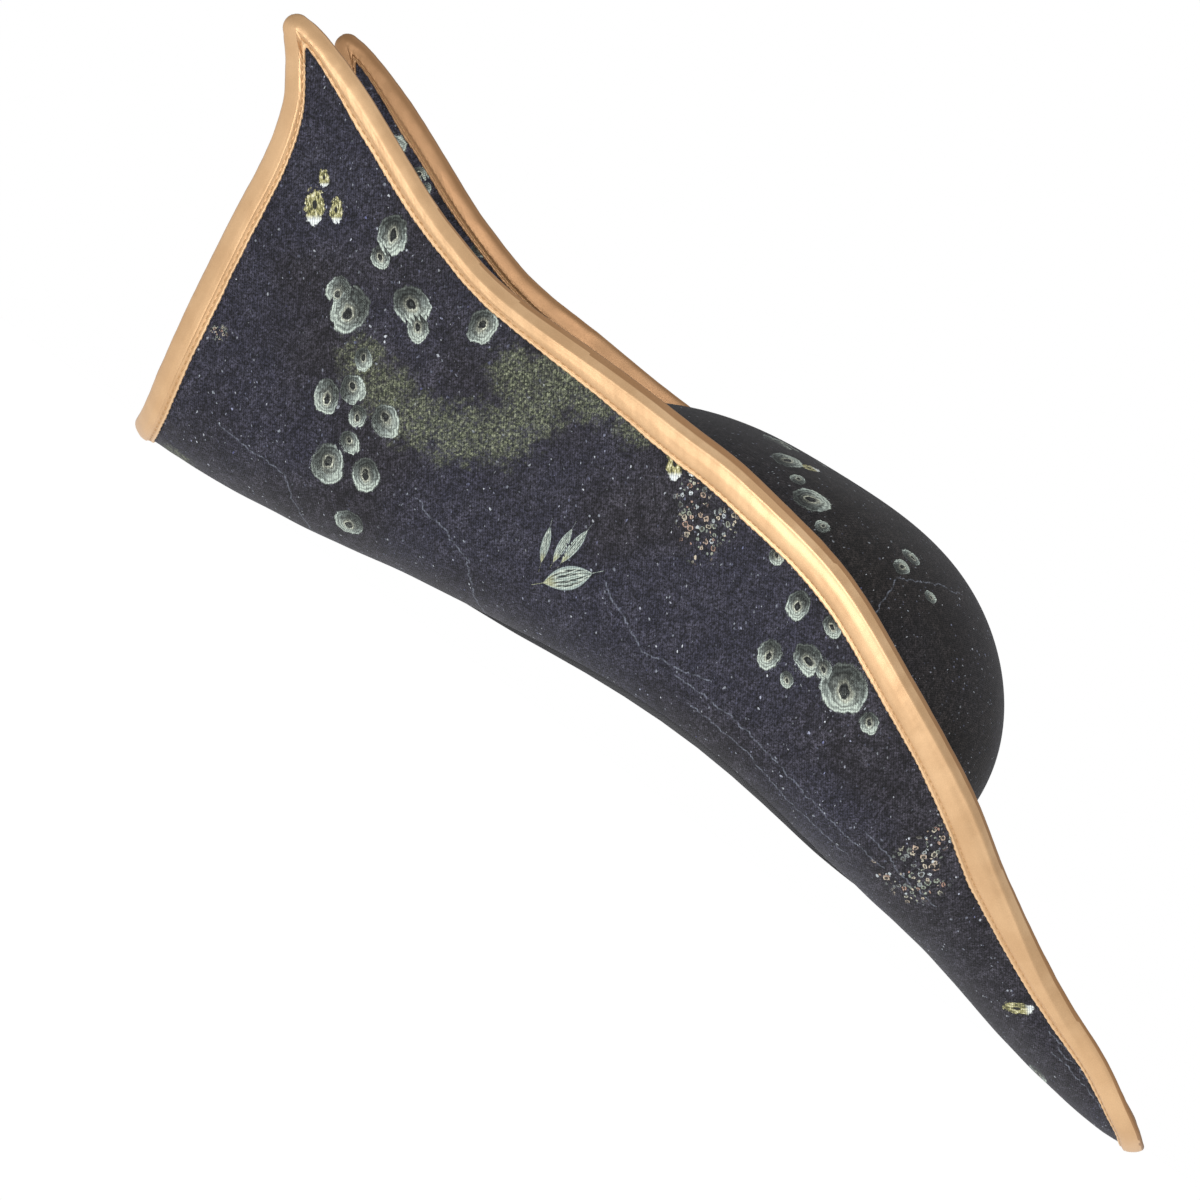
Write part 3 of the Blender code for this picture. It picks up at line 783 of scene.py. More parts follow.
def print_moss(g, under):
    """Ragged patches of grey-green speckle."""
    cloth, moss = g.field("cloth"), Signal(g, g.field("moss", "Fac"))
    ragged = (g.noise(cloth, 0.22, 4.0, 0.7) - 0.5) * 1.5 + moss
    green = g.ramp(g.noise(cloth, 0.95, 4.0, 0.8),
                   (0.41, 0.016, 0.018, 0.016), (0.47, 0.055, 0.066, 0.040),
                   (0.53, 0.165, 0.185, 0.110), (0.62, 0.38, 0.40, 0.27))
    sparse = g.step(g.noise(cloth, 0.5, 4.0, 0.8), 0.40, 0.60, 0.22, 0.95)
    shown = g.step(ragged, 0.25, 0.75) * g.step(moss, 0.02, 0.25, 0.0, 0.85) * sparse
    return g.mix(shown, under, green)


def print_flecks(g, under):
    """Bright flecks, drawn out up the photographed side."""
    cloth = g.field("cloth")
    x, y, _ = g.parts(cloth)
    rise, level = x * 0.81 + y * -0.59, x * 0.59 + y * 0.81
    bent = g.noise(cloth, 0.3, 3.0) * 3.0 + level
    off, kind = g.cells(g.joined(rise * 0.55, bent), 0.95)
    spot = g.step(kind[0] ** 3.3 * 0.37 - off, 0.0, 0.10)
    crowd = g.step(g.noise(cloth, 0.035, 3.0), 0.35, 0.62, 0.30, 1.0)
    tone = g.ramp(kind[1], (0.0, 0.075, 0.080, 0.13), (0.45, 0.13, 0.14, 0.18),
                  (0.75, 0.30, 0.33, 0.37), (0.92, 0.55, 0.58, 0.62), (1.0, 0.10, 0.11, 0.26))
    return g.mix(spot * crowd, under, tone)


def printed_cloth(name, dark, light):
    """Knitted cloth with a stone-like print, bright flecks and sea-life motifs."""
    g = Graph(name)
    cloth = g.field("cloth")
    patch = g.noise(cloth, 0.18, 5.0, 0.7)
    grit = g.noise(cloth, 1.1, 4.0, 0.85)
    worn = g.noise(cloth, 0.45, 5.0, 0.8)
    colour = g.mix(g.step(g.noise(cloth, 0.05, 7.0, 0.66), 0.36, 0.66), dark, light)
    colour = g.mix(g.step(patch, 0.42, 0.60, 0.0, 0.75), colour, tuple(0.5 * c for c in dark))
    colour = g.mix(g.step(g.noise(cloth, 0.012, 2.0), 0.42, 0.60, 0.0, 0.30), colour,
                   tuple(c * k for c, k in zip(light, (0.80, 0.92, 1.30), strict=True)))
    colour = g.shaded(colour, g.step(grit, 0.41, 0.60, 0.22, 2.05)
                      * g.step(worn, 0.37, 0.63, 0.48, 1.62))
    for draw in (print_flecks, print_moss, print_cracks, print_leaves, print_fragments,
                 print_shells, print_barnacles):
        colour = draw(g, colour)
    x, y, _ = g.parts(cloth)
    twill = ((x * 0.62 + y) * 6.6).sine()
    knit = ((y * -0.62 + x) * 4.4).sine() * 0.35 + twill
    colour = g.shaded(colour, g.step(knit, -1.2, 1.2, 0.72, 1.20))
    height = g.noise(cloth, 2.2, 2.0) * 0.5 + knit * 0.3
    return g.finish(colour, g.step(grit, 0.25, 0.75, 0.62, 0.78), height, 0.12,
                    Sheen_Weight=0.05, Sheen_Roughness=0.5, Sheen_Tint=(0.86, 0.87, 0.95),
                    Specular_IOR_Level=0.22)


def gold_trim():
    """Soft gilt leathercloth with a satin shine, rubbed at the fold, with painted shade in the
    stitch line and on its reverse face, and a painted highlight along the hem edge."""
    g = Graph("gold_leathercloth")
    run, across, inset = g.parts(g.field("trim"))
    spot = g.joined(run, across)
    cloudy = g.noise(spot, 0.045, 4.0, 0.6)
    grain = g.noise(spot, 2.6, 2.0, 0.6)
    thread = (run * (2 * np.pi / STITCH_PITCH)).sine()
    # Painted shade: the colour darkens in the stitch groove, stitch by stitch.
    painted_groove_shade = g.step(abs(inset - STITCH_INSET), 0.75, 0.1, 0.0, 0.45)
    rubbed = g.step(inset, 7.0, 12.0, 0.0, 0.3) * g.step(cloudy, 0.45, 0.6)
    colour = g.mix(g.step(cloudy, 0.35, 0.65), (0.585, 0.362, 0.186), (0.665, 0.428, 0.230))
    colour = g.mix(painted_groove_shade * g.step(thread, -1.0, 1.0, 0.55, 1.0), colour, (0.440, 0.235, 0.100))
    # Painted highlight: a paler thin line along the hem edge.
    colour = g.mix(g.step(inset, 0.5, 0.05, 0.0, 0.6), colour, (0.820, 0.560, 0.320))
    colour = g.mix(rubbed, colour, (0.800, 0.570, 0.340))
    # Painted shade: past the fold, the reverse face is turned mostly to a darker brown.
    colour = g.mix(g.step(across, 12.0, 40.0), colour, g.mix(0.25, (0.270, 0.125, 0.045), colour))
    colour = g.shaded(colour, g.step(grain, 0.25, 0.8, 0.93, 1.06))
    return g.finish(colour, g.step(cloudy, 0.3, 0.7, 0.40, 0.47), grain * 0.7 + thread * 0.12,
                    0.03, Metallic=0.50, Specular_IOR_Level=0.55)


def sewing_thread(name, colour):
    g = Graph(name)
    ply = g.noise(g.millimetres(), 3.0, 2.0)
    tone = g.mix(g.step(ply, 0.3, 0.7), tuple(0.6 * c for c in colour), colour)
    return g.finish(tone, 0.5, ply, 0.05, Sheen_Weight=0.3, Sheen_Roughness=0.4)


def foam():
    g = Graph("grey_foam")
    pores, _ = g.cells(g.millimetres(), 1.4)
    tone = g.mix(g.step(pores, 0.1, 0.5), (0.07, 0.07, 0.075), (0.19, 0.19, 0.20))
    return g.finish(tone, 0.92, pores, 0.3, Specular_IOR_Level=0.2)


def woven(name, dark, light, pitch, roughness):
    """Plain weave: two crossed thread directions that go over and under each other."""
    g = Graph(name)
    cloth = g.field("cloth")
    x, y, _ = g.parts(cloth)
    cross = (x * (2 * np.pi / pitch)).sine() * (y * (2 * np.pi / pitch)).sine()
    slub = g.noise(cloth, 0.4, 4.0, 0.7)
    tone = g.mix(g.step(cross, -0.8, 0.8), dark, light)
    tone = g.mix(g.step(slub, 0.4, 0.7, 0.0, 0.35), tone, light)
    return g.finish(tone, roughness, cross, 0.06, Sheen_Weight=0.2, Sheen_Roughness=0.4)


def ribbed_band():
    g = Graph("grosgrain")
    cloth = g.field("cloth")
    x, y, _ = g.parts(cloth)
    rib = (x * (2 * np.pi / RIB_PITCH)).sine()
    thread = (y * (2 * np.pi / RIB_THREAD_PITCH)).sine()
    worn = g.noise(cloth, 0.06, 4.0, 0.6)
    tone = g.mix(g.step(rib, -0.9, 0.6), (0.010, 0.009, 0.009), (0.036, 0.031, 0.029))
    tone = g.mix(g.step(worn, 0.45, 0.7, 0.0, 0.4), tone, (0.060, 0.052, 0.048))
    return g.finish(tone, 0.55, thread * 0.3 + rib, 0.06, Sheen_Weight=0.25, Sheen_Roughness=0.4)


def drawn_wire(name, colour):
    g = Graph(name)
    scratch = g.noise(g.millimetres(), 1.2, 4.0, 0.7)
    tone = g.mix(g.step(scratch, 0.35, 0.65), tuple(0.75 * c for c in colour), colour)
    return g.finish(tone, g.step(scratch, 0.3, 0.7, 0.25, 0.42), scratch, 0.03, Metallic=1.0)


def tape_weave():
    """Plain tape. The weave is worked out from place, as the node has no cloth coordinates."""
    g = Graph("seam_tape_weave")
    x, y, z = g.parts(g.millimetres())
    weave = (z * 9.0).sine() * ((x + y) * 7.0).sine()
    tone = g.mix(g.step(weave, -0.7, 0.7), (0.028, 0.028, 0.031), (0.065, 0.065, 0.070))
    return g.finish(tone, 0.7, weave, 0.08, Sheen_Weight=0.15)


def pale_floor():
    g = Graph("studio_floor")
    place = g.node("ShaderNodeTexCoord").outputs["Object"]
    tone = g.mix(g.step(g.noise(place, 2.0), 0.3, 0.7), (0.93,) * 3, (0.95,) * 3)
    return g.finish(tone, 0.9, Emission_Color=(1.0, 1.0, 1.0), Emission_Strength=0.62)


# ---------------------------------------------------------------- brim pieces


def brim_rows(loop, near_edge, to_root):
    """(share, inset) rows over all columns: fine ones near the edge, then evenly on to the root."""
    cuts = np.arange(2 * loop.half, dtype=float)
    shares = [loop.share_at(cuts, s) for s in near_edge]
    for k in range(1, to_root + 1):
        shares.append(shares[len(near_edge) - 1] * (1 - k / to_root))
    flat = np.array([loop.on_cloth(cuts, s) for s in shares])
    reach = [np.full(len(cuts), float(s)) for s in near_edge]
    last = flat[len(near_edge) - 1]
    reach += [near_edge[-1] + np.linalg.norm(f - last, axis=1) for f in flat[len(near_edge):]]
    return flat, np.array(reach)


DRAG = waves(21, 5, 16, 9)
RUMPLE = waves(22, 18, 45, 8)


def drag_wrinkles(loop, flat, inset):
    """Short ridges that run in from the stitching, as sewn-through padding has."""
    run = np.broadcast_to(loop.run, inset.shape)
    reach = through(TRIM_REACH, flat[..., 1])
    near = np.exp(-np.maximum(inset - reach, 0) / 7) * smooth(inset, reach - 4, reach)
    side = np.sign(flat[..., 0]) * 31
    ridges = near * 0.30 * DRAG(run + side, inset * 0.35)
    return ridges + 0.12 * RUMPLE(flat[..., 0], flat[..., 1])


def brim_layer(name, loop, low, high, look, node, side):
    """One closed layer of the brim between two heights off its middle surface. side says which
    face is the fine, outer one: -1 away from the crown, 1 towards it, and 0 neither."""
    fine = np.concatenate([[0.4, 2], np.arange(3.5, 31, 1.6)])
    rough = np.array([0.4, 4, 9, 14, 20, 28])
    outer_flat, outer_inset = brim_rows(loop, fine, 46) if side else brim_rows(loop, rough, 16)
    inner_flat, inner_inset = brim_rows(loop, rough, 16)

    def layer(flat, inset, edge, shown):
        half = pinch(inset, flat[..., 1])
        height = half * edge / FULL_HALF
        if shown:
            height = height + side * drag_wrinkles(loop, flat, inset)
            height = height - side * 1.1 * np.exp(-(inset.max(axis=0) - inset) / 1.2)
        return brim_point(flat[..., 0], flat[..., 1], height)

    front, back = (high, low) if side >= 0 else (low, high)
    points = np.concatenate([layer(outer_flat, outer_inset, front, bool(side)),
                             layer(inner_flat, inner_inset, back, False)[::-1]])
    rows, columns = points.shape[:2]
    piece = add_piece(name, points, [grid(rows, columns, True, True)], look, node)
    flat = np.concatenate([outer_flat, inner_flat[::-1]])
    return piece, flat, (len(outer_flat) - 1) * columns


def moved(lines, across, along, shift):
    """Crack lines, each place scaled across and along the flat cloth and moved along it."""
    return [tuple((q * across, y * along + shift) for q, y in line) for line in lines]


def outer_spots():
    """Where the outer brim cloth's motifs lie: the drawn groups on +X, scattered ones elsewhere."""
    wide = (-205, -60, -190, 190)
    far = clumps(31, 9, (-180, -60, -190, 120), (3, 7))
    under = (clumps(33, 4, (-50, 60, -200, -115), (3, 6))
             + clumps(34, 3, (-40, 30, 110, 200), (3, 6)))
    return {
        "barnacles": [*BARNACLES, *far, *under],
        "shells": [*SHELLS, *scattered(35, 7, wide, (3, 6))],
        "fragments": [*FRAGMENTS, *scattered(36, 8, wide, (5, 9))],
        "leaves": [*LEAVES, (-120, -60, 12, 5, 160), (-128, -52, 12, 3, 130),
                   (-95, 90, 11, 3.4, 40)],
        "cracks": [*CRACKS, *moved(CRACKS, -1, 1, 9)],
        "moss": [*MOSS, *[(-q * 0.95, y + 40, size) for q, y, size in MOSS],
                 *scattered(37, 5, (-60, 60, -200, -110), (7, 12))]}


def inner_spots():
    both = (clumps(41, 7, (70, 200, -200, 140), (3, 7))
            + clumps(42, 7, (-200, -70, -200, 140), (3, 7)))
    return {
        "barnacles": both + clumps(43, 4, (-55, 55, -200, -120), (3, 7)),
        "shells": scattered(44, 9, (-200, 200, -210, -110), (3, 6)),
        "fragments": scattered(45, 12, (-200, 200, -210, 200), (5, 9)),
        "leaves": [(150, -40, 12, 5, 20), (156, -52, 12, 3.2, 60), (-150, -90, 12, 4, 120),
                   (-20, -150, 12, 5, 30), (-12, -160, 12, 3.2, 70)],
        "cracks": moved(CRACKS, -1.15, -1, 0) + moved(CRACKS, 1.1, 1, -20),
        "moss": ([(-q, y + 10, size) for q, y, size in MOSS]
                 + scattered(46, 8, (90, 200, -200, 60), (7, 12)))}


def make_brim(looks):
    loop = BrimLoop(BRIM_COLUMNS, STACK_OFFSET - 0.5)
    inner = FOAM_WALL / 2 + GAP
    for name, low, high, node, side, spots in (
            ("brim_outer_cloth", -FULL_HALF, -inner, "brim_lower_cover", -1, outer_spots()),
            ("brim_inner_cloth", inner, FULL_HALF, "brim_upper_cover", 1, inner_spots())):
        piece, flat, printed = brim_layer(name, loop, low, high, looks["brim_cloth"], node, side)
        lay_print(piece, flat, printed, spots)
    padding, _, _ = brim_layer("brim_padding", loop, -FOAM_WALL / 2, FOAM_WALL / 2,
                               looks["foam"], "brim_foam", 0)


# ---------------------------------------------------------------- binding

TRIM_RUMPLE = waves(51, 9, 42, 9)
TRIM_KINK = waves(52, 4, 10, 7)


class TrimRun:
    """A run of brim-edge columns with the frame that the binding and its stitches follow."""

    def __init__(self, loop, start, stop, per_column=1.0):
        count = int(round((stop - start) * per_column))
        even = np.linspace(start + 2, stop - 2, count - 3)
        near = np.linspace(0, 2, END_COLUMNS, endpoint=False)
        self.cuts = np.concatenate([start + near, even, (stop - near)[::-1]])
        self.loop = loop
        edge = loop.take(loop.edge, self.cuts)
        fine_cuts = np.arange(start - 8, stop + 8.01, 0.25)
        fine = loop.take(loop.edge, fine_cuts)
        at = brim_point(fine[:, 0], fine[:, 1])
        along = np.gradient(at, axis=0)
        outward = unit(np.cross(unit(along), fold_normal(fine[:, 0], fine[:, 1])))
        spread = np.arange(-16, 17) * 0.25
        weight = np.exp(-(spread / TIP_EASE) ** 2)
        outward = np.stack([np.convolve(column, weight / weight.sum(), "same")
                            for column in outward.T], axis=1)
        self.outward = unit(between(self.cuts, fine_cuts, outward))
        self.at = brim_point(edge[:, 0], edge[:, 1])
        self.normal = fold_normal(edge[:, 0], edge[:, 1])
        self.y = edge[:, 1]
        self.run = run_of(self.at)
        self.reach = through(TRIM_REACH, self.y)
        self.out = through(TRIM_OUT, self.y)
        self.roll = through(TRIM_ROLL, self.y)
        self.snug = np.minimum(1, self.reach / FULL_HEM_REACH)
        self.to_end = np.minimum(self.run, self.run[-1] - self.run)
        reaches = np.linspace(0, 1.25, 9)
        self.flat = np.array([loop.inset(self.cuts, self.reach * r) for r in reaches])
        self.mids = np.array([brim_point(f[:, 0], f[:, 1]) for f in self.flat])
        self.norms = np.array([fold_normal(f[:, 0], f[:, 1]) for f in self.flat])
        self.reaches = reaches

    def point(self, out, high):
        """Points at a distance out past the edge, or in over the cloth where out is negative, and
        at a height off the middle surface on its outer side, away from the crown."""
        share = np.clip(-out / self.reach, 0, self.reaches[-1])
        spot = share / (self.reaches[1] - self.reaches[0])
        low = np.clip(spot.astype(int), 0, len(self.reaches) - 2)
        part = (spot - low)[:, None]
        column = np.arange(len(self.cuts))
        mid = self.mids[low, column] * (1 - part) + self.mids[low + 1, column] * part
        normal = unit(self.norms[low, column] * (1 - part) + self.norms[low + 1, column] * part)
        return mid + self.outward * np.maximum(out, 0)[:, None] - normal * high[:, None]


def trim_section(run):
    """The binding's outer line as a list of (out, high) columns, from the hem on the outer cloth
    over the edge to the hem on the inner cloth."""
    m, b, k, f = run.reach, run.out, run.roll, run.snug
    one = np.ones_like(m)
    hem = [(-(m + 0.30), 1.95 * one), (-(m + 0.42), 2.30 * one), (-(m + 0.20 * f), 2.74 * one),
           (-(m - 0.25 * f), 2.82 * one), (-(m - STITCH_INSET * f), 2.58 * one),
           (-(m - 2.2 * f), 3.00 + 0.30 * k)]
    face = [(-0.50 * f * m, 3.36 + 0.12 * k), (-0.34 * f * m, 3.45 * one),
            (-0.12 * m, 3.42 - 0.3 * k)]
    crest = [(0.10 * b, 3.28 - 0.35 * k), (0.42 * b, 2.75 - 1.35 * k), (0.78 * b, 1.75 - 2.1 * k),
             (1.0 * b, 0.15 - 1.9 * k)]
    back = [(0.92 * b, -1.55 - 1.05 * k), (0.62 * b, -2.75 - 0.35 * k), (0.2 * b, -3.3 + 0 * k)]
    inner_face = [(-0.25 * m, -3.42 * one), (-0.55 * m, -3.3 * one)]
    inner_hem = [(o, -h) for o, h in hem[::-1]]
    return hem + face + crest + back + inner_face + inner_hem


def trim_points(run):
    """The binding's section at every column: its outer line, its inner one turned back, and the
    outer line's distances in from the hem."""
    line = [np.stack([o, h], axis=-1) for o, h in trim_section(run)]
    line = dense([2 * line[0] - line[1]] + line + [2 * line[-1] - line[-2]], 3)
    slope = np.gradient(line, axis=0)
    normal = unit(np.stack([slope[..., 1], -slope[..., 0]], axis=-1))
    inward = -normal * np.sign((normal * (line - (-6, 0))).sum(axis=-1, keepdims=True).mean())
    inset = run.reach + line[..., 0]
    pucker = np.cos(2 * np.pi * run.run / STITCH_PITCH)
    near_row = np.exp(-((inset - STITCH_INSET) / 1.2) ** 2)
    seat = np.where(line[..., 1] > 0, 0, 80) + run.run
    ends = np.exp(-run.to_end / 9)
    free = smooth(inset, STITCH_INSET + 0.3, STITCH_INSET + 3)
    swell = 0.14 * pucker * near_row
    swell += free * (0.05 + 0.08 * ends) * TRIM_RUMPLE(seat, line[..., 0] * 2.2)
    swell += free * (0.03 + 0.12 * ends) * TRIM_KINK(seat * 0.8, line[..., 0] * 1.4)
    shaped = line - inward * swell[..., None]
    hem = np.exp(-np.maximum(inset + 0.4, 0) / 0.9)
    edge_wave = hem * (0.16 * np.cos(2 * np.pi * run.run / STITCH_PITCH + 0.8)
                       + 0.14 * TRIM_RUMPLE(seat + 200, 0))
    shaped[..., 0] -= edge_wave
    inner = line[3:-3:3] + inward[3:-3:3] * TRIM_WALL
    return shaped, inner[::-1], inset


def trim_piece(name, loop, start, stop, look, node):
    run = TrimRun(loop, start, stop)
    shaped, inner, inset = trim_points(run)
    section = np.concatenate([shaped, inner])
    points = np.array([run.point(s[:, 0], s[:, 1]) for s in section])
    rows, columns = points.shape[:2]
    start_cap = np.arange(rows) * columns
    faces = [grid(rows, columns, True, False), start_cap[None],
             start_cap[None, ::-1] + columns - 1]
    piece = add_piece(name, points, faces, look, node, sharp=70)
    place = np.zeros(points.shape)
    place[..., 0] = run.run
    # The inner face's across starts at 60, so that the binding's material paints shade on it.
    place[..., 1] = section[..., 0] + np.where(section[..., 1] > 0, 0, 60)
    place[..., 2] = np.concatenate([inset, inset[3:-3:3][::-1]])
    point_vectors(piece, "trim", place)


def stitch_row(name, centre, along, up, look, node):
    """Short thread bars that dip into the cloth at both ends. Each row of centre is one stitch."""
    rings, sides = 5, 6
    side = unit(np.cross(up, along))
    t = np.linspace(-1, 1, rings)
    swell = np.sqrt(np.clip(1 - 0.75 * t ** 2, 0, 1))
    angle = np.arange(sides) / sides * 2 * np.pi
    body = centre[:, None] + along[:, None] * (t * STITCH_LENGTH / 2)[None, :, None]
    body = body - up[:, None] * (0.30 * t ** 4)[None, :, None]
    offset = (side[:, None, None] * np.cos(angle)[None, None, :, None]
              + up[:, None, None] * np.sin(angle)[None, None, :, None])
    points = body[:, :, None] + offset * (THREAD_RADIUS * swell)[None, :, None, None]
    count = len(centre)
    walls = grid(rings, sides, False, True)
    caps = np.array([np.arange(sides)[::-1], (rings - 1) * sides + np.arange(sides)])
    shift = (np.arange(count) * rings * sides)[:, None, None]
    faces = [(walls[None] + shift).reshape(-1, 4), (caps[None] + shift).reshape(-1, sides)]
    add_piece(name, points, faces, look, node)


def trim_stitches(name, loop, start, stop, high, look, node):
    """The stitch row of one binding: high is 1 for its outer face and -1 for its inner one."""
    run = TrimRun(loop, start, stop)
    line = run.point(-(run.reach - STITCH_INSET * run.snug),
                     np.full(len(run.reach), high * STITCH_HEIGHT))
    marks = np.arange(STITCH_PITCH, run.run[-1] - 1, STITCH_PITCH)
    at = between(marks, run.run, line)
    along = unit(between(marks + 0.7, run.run, line) - at)
    up = unit(-between(marks, run.run, run.normal) * high)
    stitch_row(name, at, along, up, look, node)


def tube(name, line, radius, look, node, sides=10):
    """A round rod along a line of points."""
    along = unit(np.gradient(line, axis=0))
    side = unit(np.cross(along, (0.0, 0.0, 1.0) + 0.3 * unit(line)))
    up = np.cross(side, along)
    angle = np.arange(sides) / sides * 2 * np.pi
    radius = np.broadcast_to(radius, len(line))[:, None, None]
    ring = side[:, None] * np.cos(angle)[None, :, None] + up[:, None] * np.sin(angle)[None, :, None]
    points = line[:, None] + ring * radius
    cap = np.arange(sides)[None]
    faces = [grid(len(line), sides, False, True), cap[:, ::-1], (len(line) - 1) * sides + cap]
    add_piece(name, points, faces, look, node)


def make_edge(looks):
    loop = BrimLoop(TRIM_COLUMNS, STACK_OFFSET)
    tip, tail, whole = loop.tip, loop.half, 2 * loop.half
    for side, start, stop in (("left", tip, tail), ("right", tail, whole - tip),
                              ("front", -tip, tip)):
        trim_piece(f"{side}_trim", loop, start, stop, looks["gold"], f"{side}_binding")
        for face, high, thread in (("outer", 1, "needle"), ("inner", -1, "bobbin")):
            trim_stitches(f"{side}_{face}_stitches", loop, start, stop, high,
                          looks["gold_thread"], f"{side}_{thread}_thread")

    def channel(run):
        """The line inside the binding that the wire lies on."""
        return run.point(np.full(len(run.at), WIRE_OUT), -0.1 - run.roll)

    ring = TrimRun(loop, -tail + 0.6, tail - 0.6, 0.5)
    tube("brim_wire", channel(ring), WIRE_RADIUS, looks["wire"], "edge_wire")
    ends = TrimRun(loop, tail - 7, tail + 7, 2.0)
    from_middle = np.abs(ends.run - ends.run[-1] / 2)
    crimp = 1.25 - 0.22 * np.exp(-((from_middle - 3.2) / 0.9) ** 2)
    tube("wire_crimp", channel(ends), crimp, looks["crimp"], "wire_sleeve", 16)


# ---------------------------------------------------------------- crown and inside

DOME = waves(61, 60, 150)
PUCKER = waves(62, 7, 20, 8)


def dome_layer(name, low, high, look, node, columns, rows, foot_drop=0.0, wavy=0.0,
               gathers=0.0):
    """A closed dome shell between two offsets from the head's shape, the outer face first."""
    turn = np.arange(columns) / columns * 2 * np.pi
    rises = even_rises(rows)
    turns, rise = np.meshgrid(turn, rises)
    base, normal = crown_surface(turns, rise), crown_normal(turns, rise)
    normal[0, :, 2] = 0
    normal[0] = unit(normal[0])
    run = turns * HEAD_MEAN_RADIUS
    high_up = base[..., 2] - base[0:1, :, 2]
    bumps = wavy * smooth(high_up, 0, 30) * DOME(base[..., 0] + base[..., 2], base[..., 1])
    bumps = bumps + gathers * np.exp(-high_up / 9) * PUCKER(run, high_up * 0.3)
    outer = base + normal * (high + bumps)[..., None]
    inner = base + normal * (low + bumps)[..., None]
    peak = [np.array([[0, 0, CROWN_TOP + offset]]) for offset in (high, low)]
    hem = ((0.6, 0.0), (0.95, 0.25), (1.0, 0.9)) if foot_drop else ()
    drop = [[outer[0] - (0, 0, foot_drop * down) - normal[0] * tuck] for down, tuck in hem]
    skin = np.concatenate([outer[::-1], *drop, inner])
    points = np.concatenate([peak[0], skin.reshape(-1, 3), peak[1]])
    count = len(skin)
    body = grid(count, columns, False, True) + 1
    c = np.arange(columns)
    top = np.stack([np.zeros(columns, int), 1 + (c + 1) % columns, 1 + c], axis=1)
    start = 1 + (count - 1) * columns
    last = len(points) - 1
    bottom = np.stack([np.full(columns, last), start + c, start + (c + 1) % columns], axis=1)
    piece = add_piece(name, points, [body, top, bottom], look, node)
    steps = np.diff(outer[::-1], axis=0, prepend=np.broadcast_to(peak[0], (1, columns, 3)))
    from_top = np.cumsum(np.linalg.norm(steps, axis=2), axis=0)
    hems = [from_top[-1:] + foot_drop * down for down, _ in hem]
    flat = unit(skin[..., :2]) * np.concatenate([from_top, *hems, from_top[::-1]])[..., None]
    return piece, np.concatenate([[[0, 0]], flat.reshape(-1, 2), [[0, 0]]]), rows * columns


def crown_spots():
    return {
        "barnacles": [(38, -18, 7), (58, -3, 7.5), (50, -11, 3.5), (68, 6, 3.2),
                      *clumps(71, 6, (-120, 20, -130, 130), (3, 7)),
                      *clumps(75, 2, (30, 130, 40, 130), (3, 6))],
        "shells": scattered(72, 5, (-90, 90, -100, 100), (3, 5)),
        "fragments": scattered(73, 6, (-90, 90, -100, 100), (5, 8)),
        "leaves": [(-50, 10, 12, 5, 20), (-44, 20, 12, 3, 60)],
        "cracks": [((-60, -80), (-30, -60), (-20, -20), (10, 10)), ((30, 60), (60, 40), (90, 44))],
        "moss": scattered(74, 5, (-90, -10, -100, 100), (7, 12))}


def make_crown(looks):
    over = LINING_WALL + GAP + FOAM_WALL + GAP
    cloth, flat, printed = dome_layer(
        "crown_cloth", over, over + COVER_WALL, looks["crown_cloth"], "crown_cover",
        CROWN_COLUMNS, CROWN_ROWS, CROWN_LIFT + 0.5, wavy=0.5, gathers=0.35)
    lay_print(cloth, flat, printed, crown_spots())
    padding, _, _ = dome_layer("crown_padding", LINING_WALL + GAP, LINING_WALL + GAP + FOAM_WALL,
                               looks["foam"], "crown_foam", 96, 26)
    lining, flat, _ = dome_layer("dome_lining", 0.0, LINING_WALL, looks["lining"],
                                 "crown_lining", 200, 48)
    point_vectors(lining, "cloth", at_zero(flat))


def make_sweatband(looks):
    """The grosgrain band: upright ribs all the way round, and a thicker edge at top and foot."""
    ribs = int(round(2 * np.pi * HEAD_MEAN_RADIUS / RIB_PITCH))
    columns = ribs * RIB_COLUMNS
    turn = np.arange(columns) / columns * 2 * np.pi
    foot = band_foot(turn, STACK_OFFSET)
    phase = np.cos(np.arange(columns) * 2 * np.pi / RIB_COLUMNS)
    rise = np.array([0, 0.25, 0.6, 1.6, 4, 9, 15, 21, 26, 30, 31.2, 31.75, SWEATBAND_HEIGHT])
    from_edge = np.minimum(rise, SWEATBAND_HEIGHT - rise)
    rounded = np.sqrt(np.clip(1 - (1 - from_edge / 0.6).clip(0) ** 2, 0, 1))
    selvedge = np.exp(-from_edge / 1.4)

    def face(side):
        half = SWEATBAND_WALL / 2 * rounded[:, None]
        half = half - 0.10 * (1 - phase) * (1 - selvedge)[:, None]
        flat = head_oval(np.broadcast_to(turn, half.shape),
                         SWEATBAND_WALL / 2 + side * half.clip(0.02))
        high = foot - SWEATBAND_DROP + rise[:, None] + 0 * half
        return np.concatenate([flat, high[..., None]], axis=-1)

    points = np.concatenate([face(-1), face(1)[::-1]])
    piece = add_piece("sweatband_ribbon", points, [grid(len(points), columns, True, True)],
                      looks["band"], "sweatband")
    run = np.broadcast_to(turn * ribs * RIB_PITCH / (2 * np.pi), points.shape[:2])
    high = np.concatenate([rise, rise[::-1]])[:, None] + 0 * run
    point_vectors(piece, "cloth", np.stack([run, high, 0 * run], axis=-1))
    marks = np.arange(int(2 * np.pi * HEAD_MEAN_RADIUS / STITCH_PITCH))
    turn = marks / len(marks) * 2 * np.pi

    def stitch_line(at):
        place = head_oval(at, -GAP / 2)
        return np.c_[place, band_foot(at, STACK_OFFSET) - SWEATBAND_DROP + 2.0]

    centre = stitch_line(turn)
    along = unit(stitch_line(turn + 0.01) - centre)
    stitch_row("sweatband_stitches", centre, along, unit(at_zero(-centre[:, :2])),
               looks["dark_thread"], "sweatband_thread")


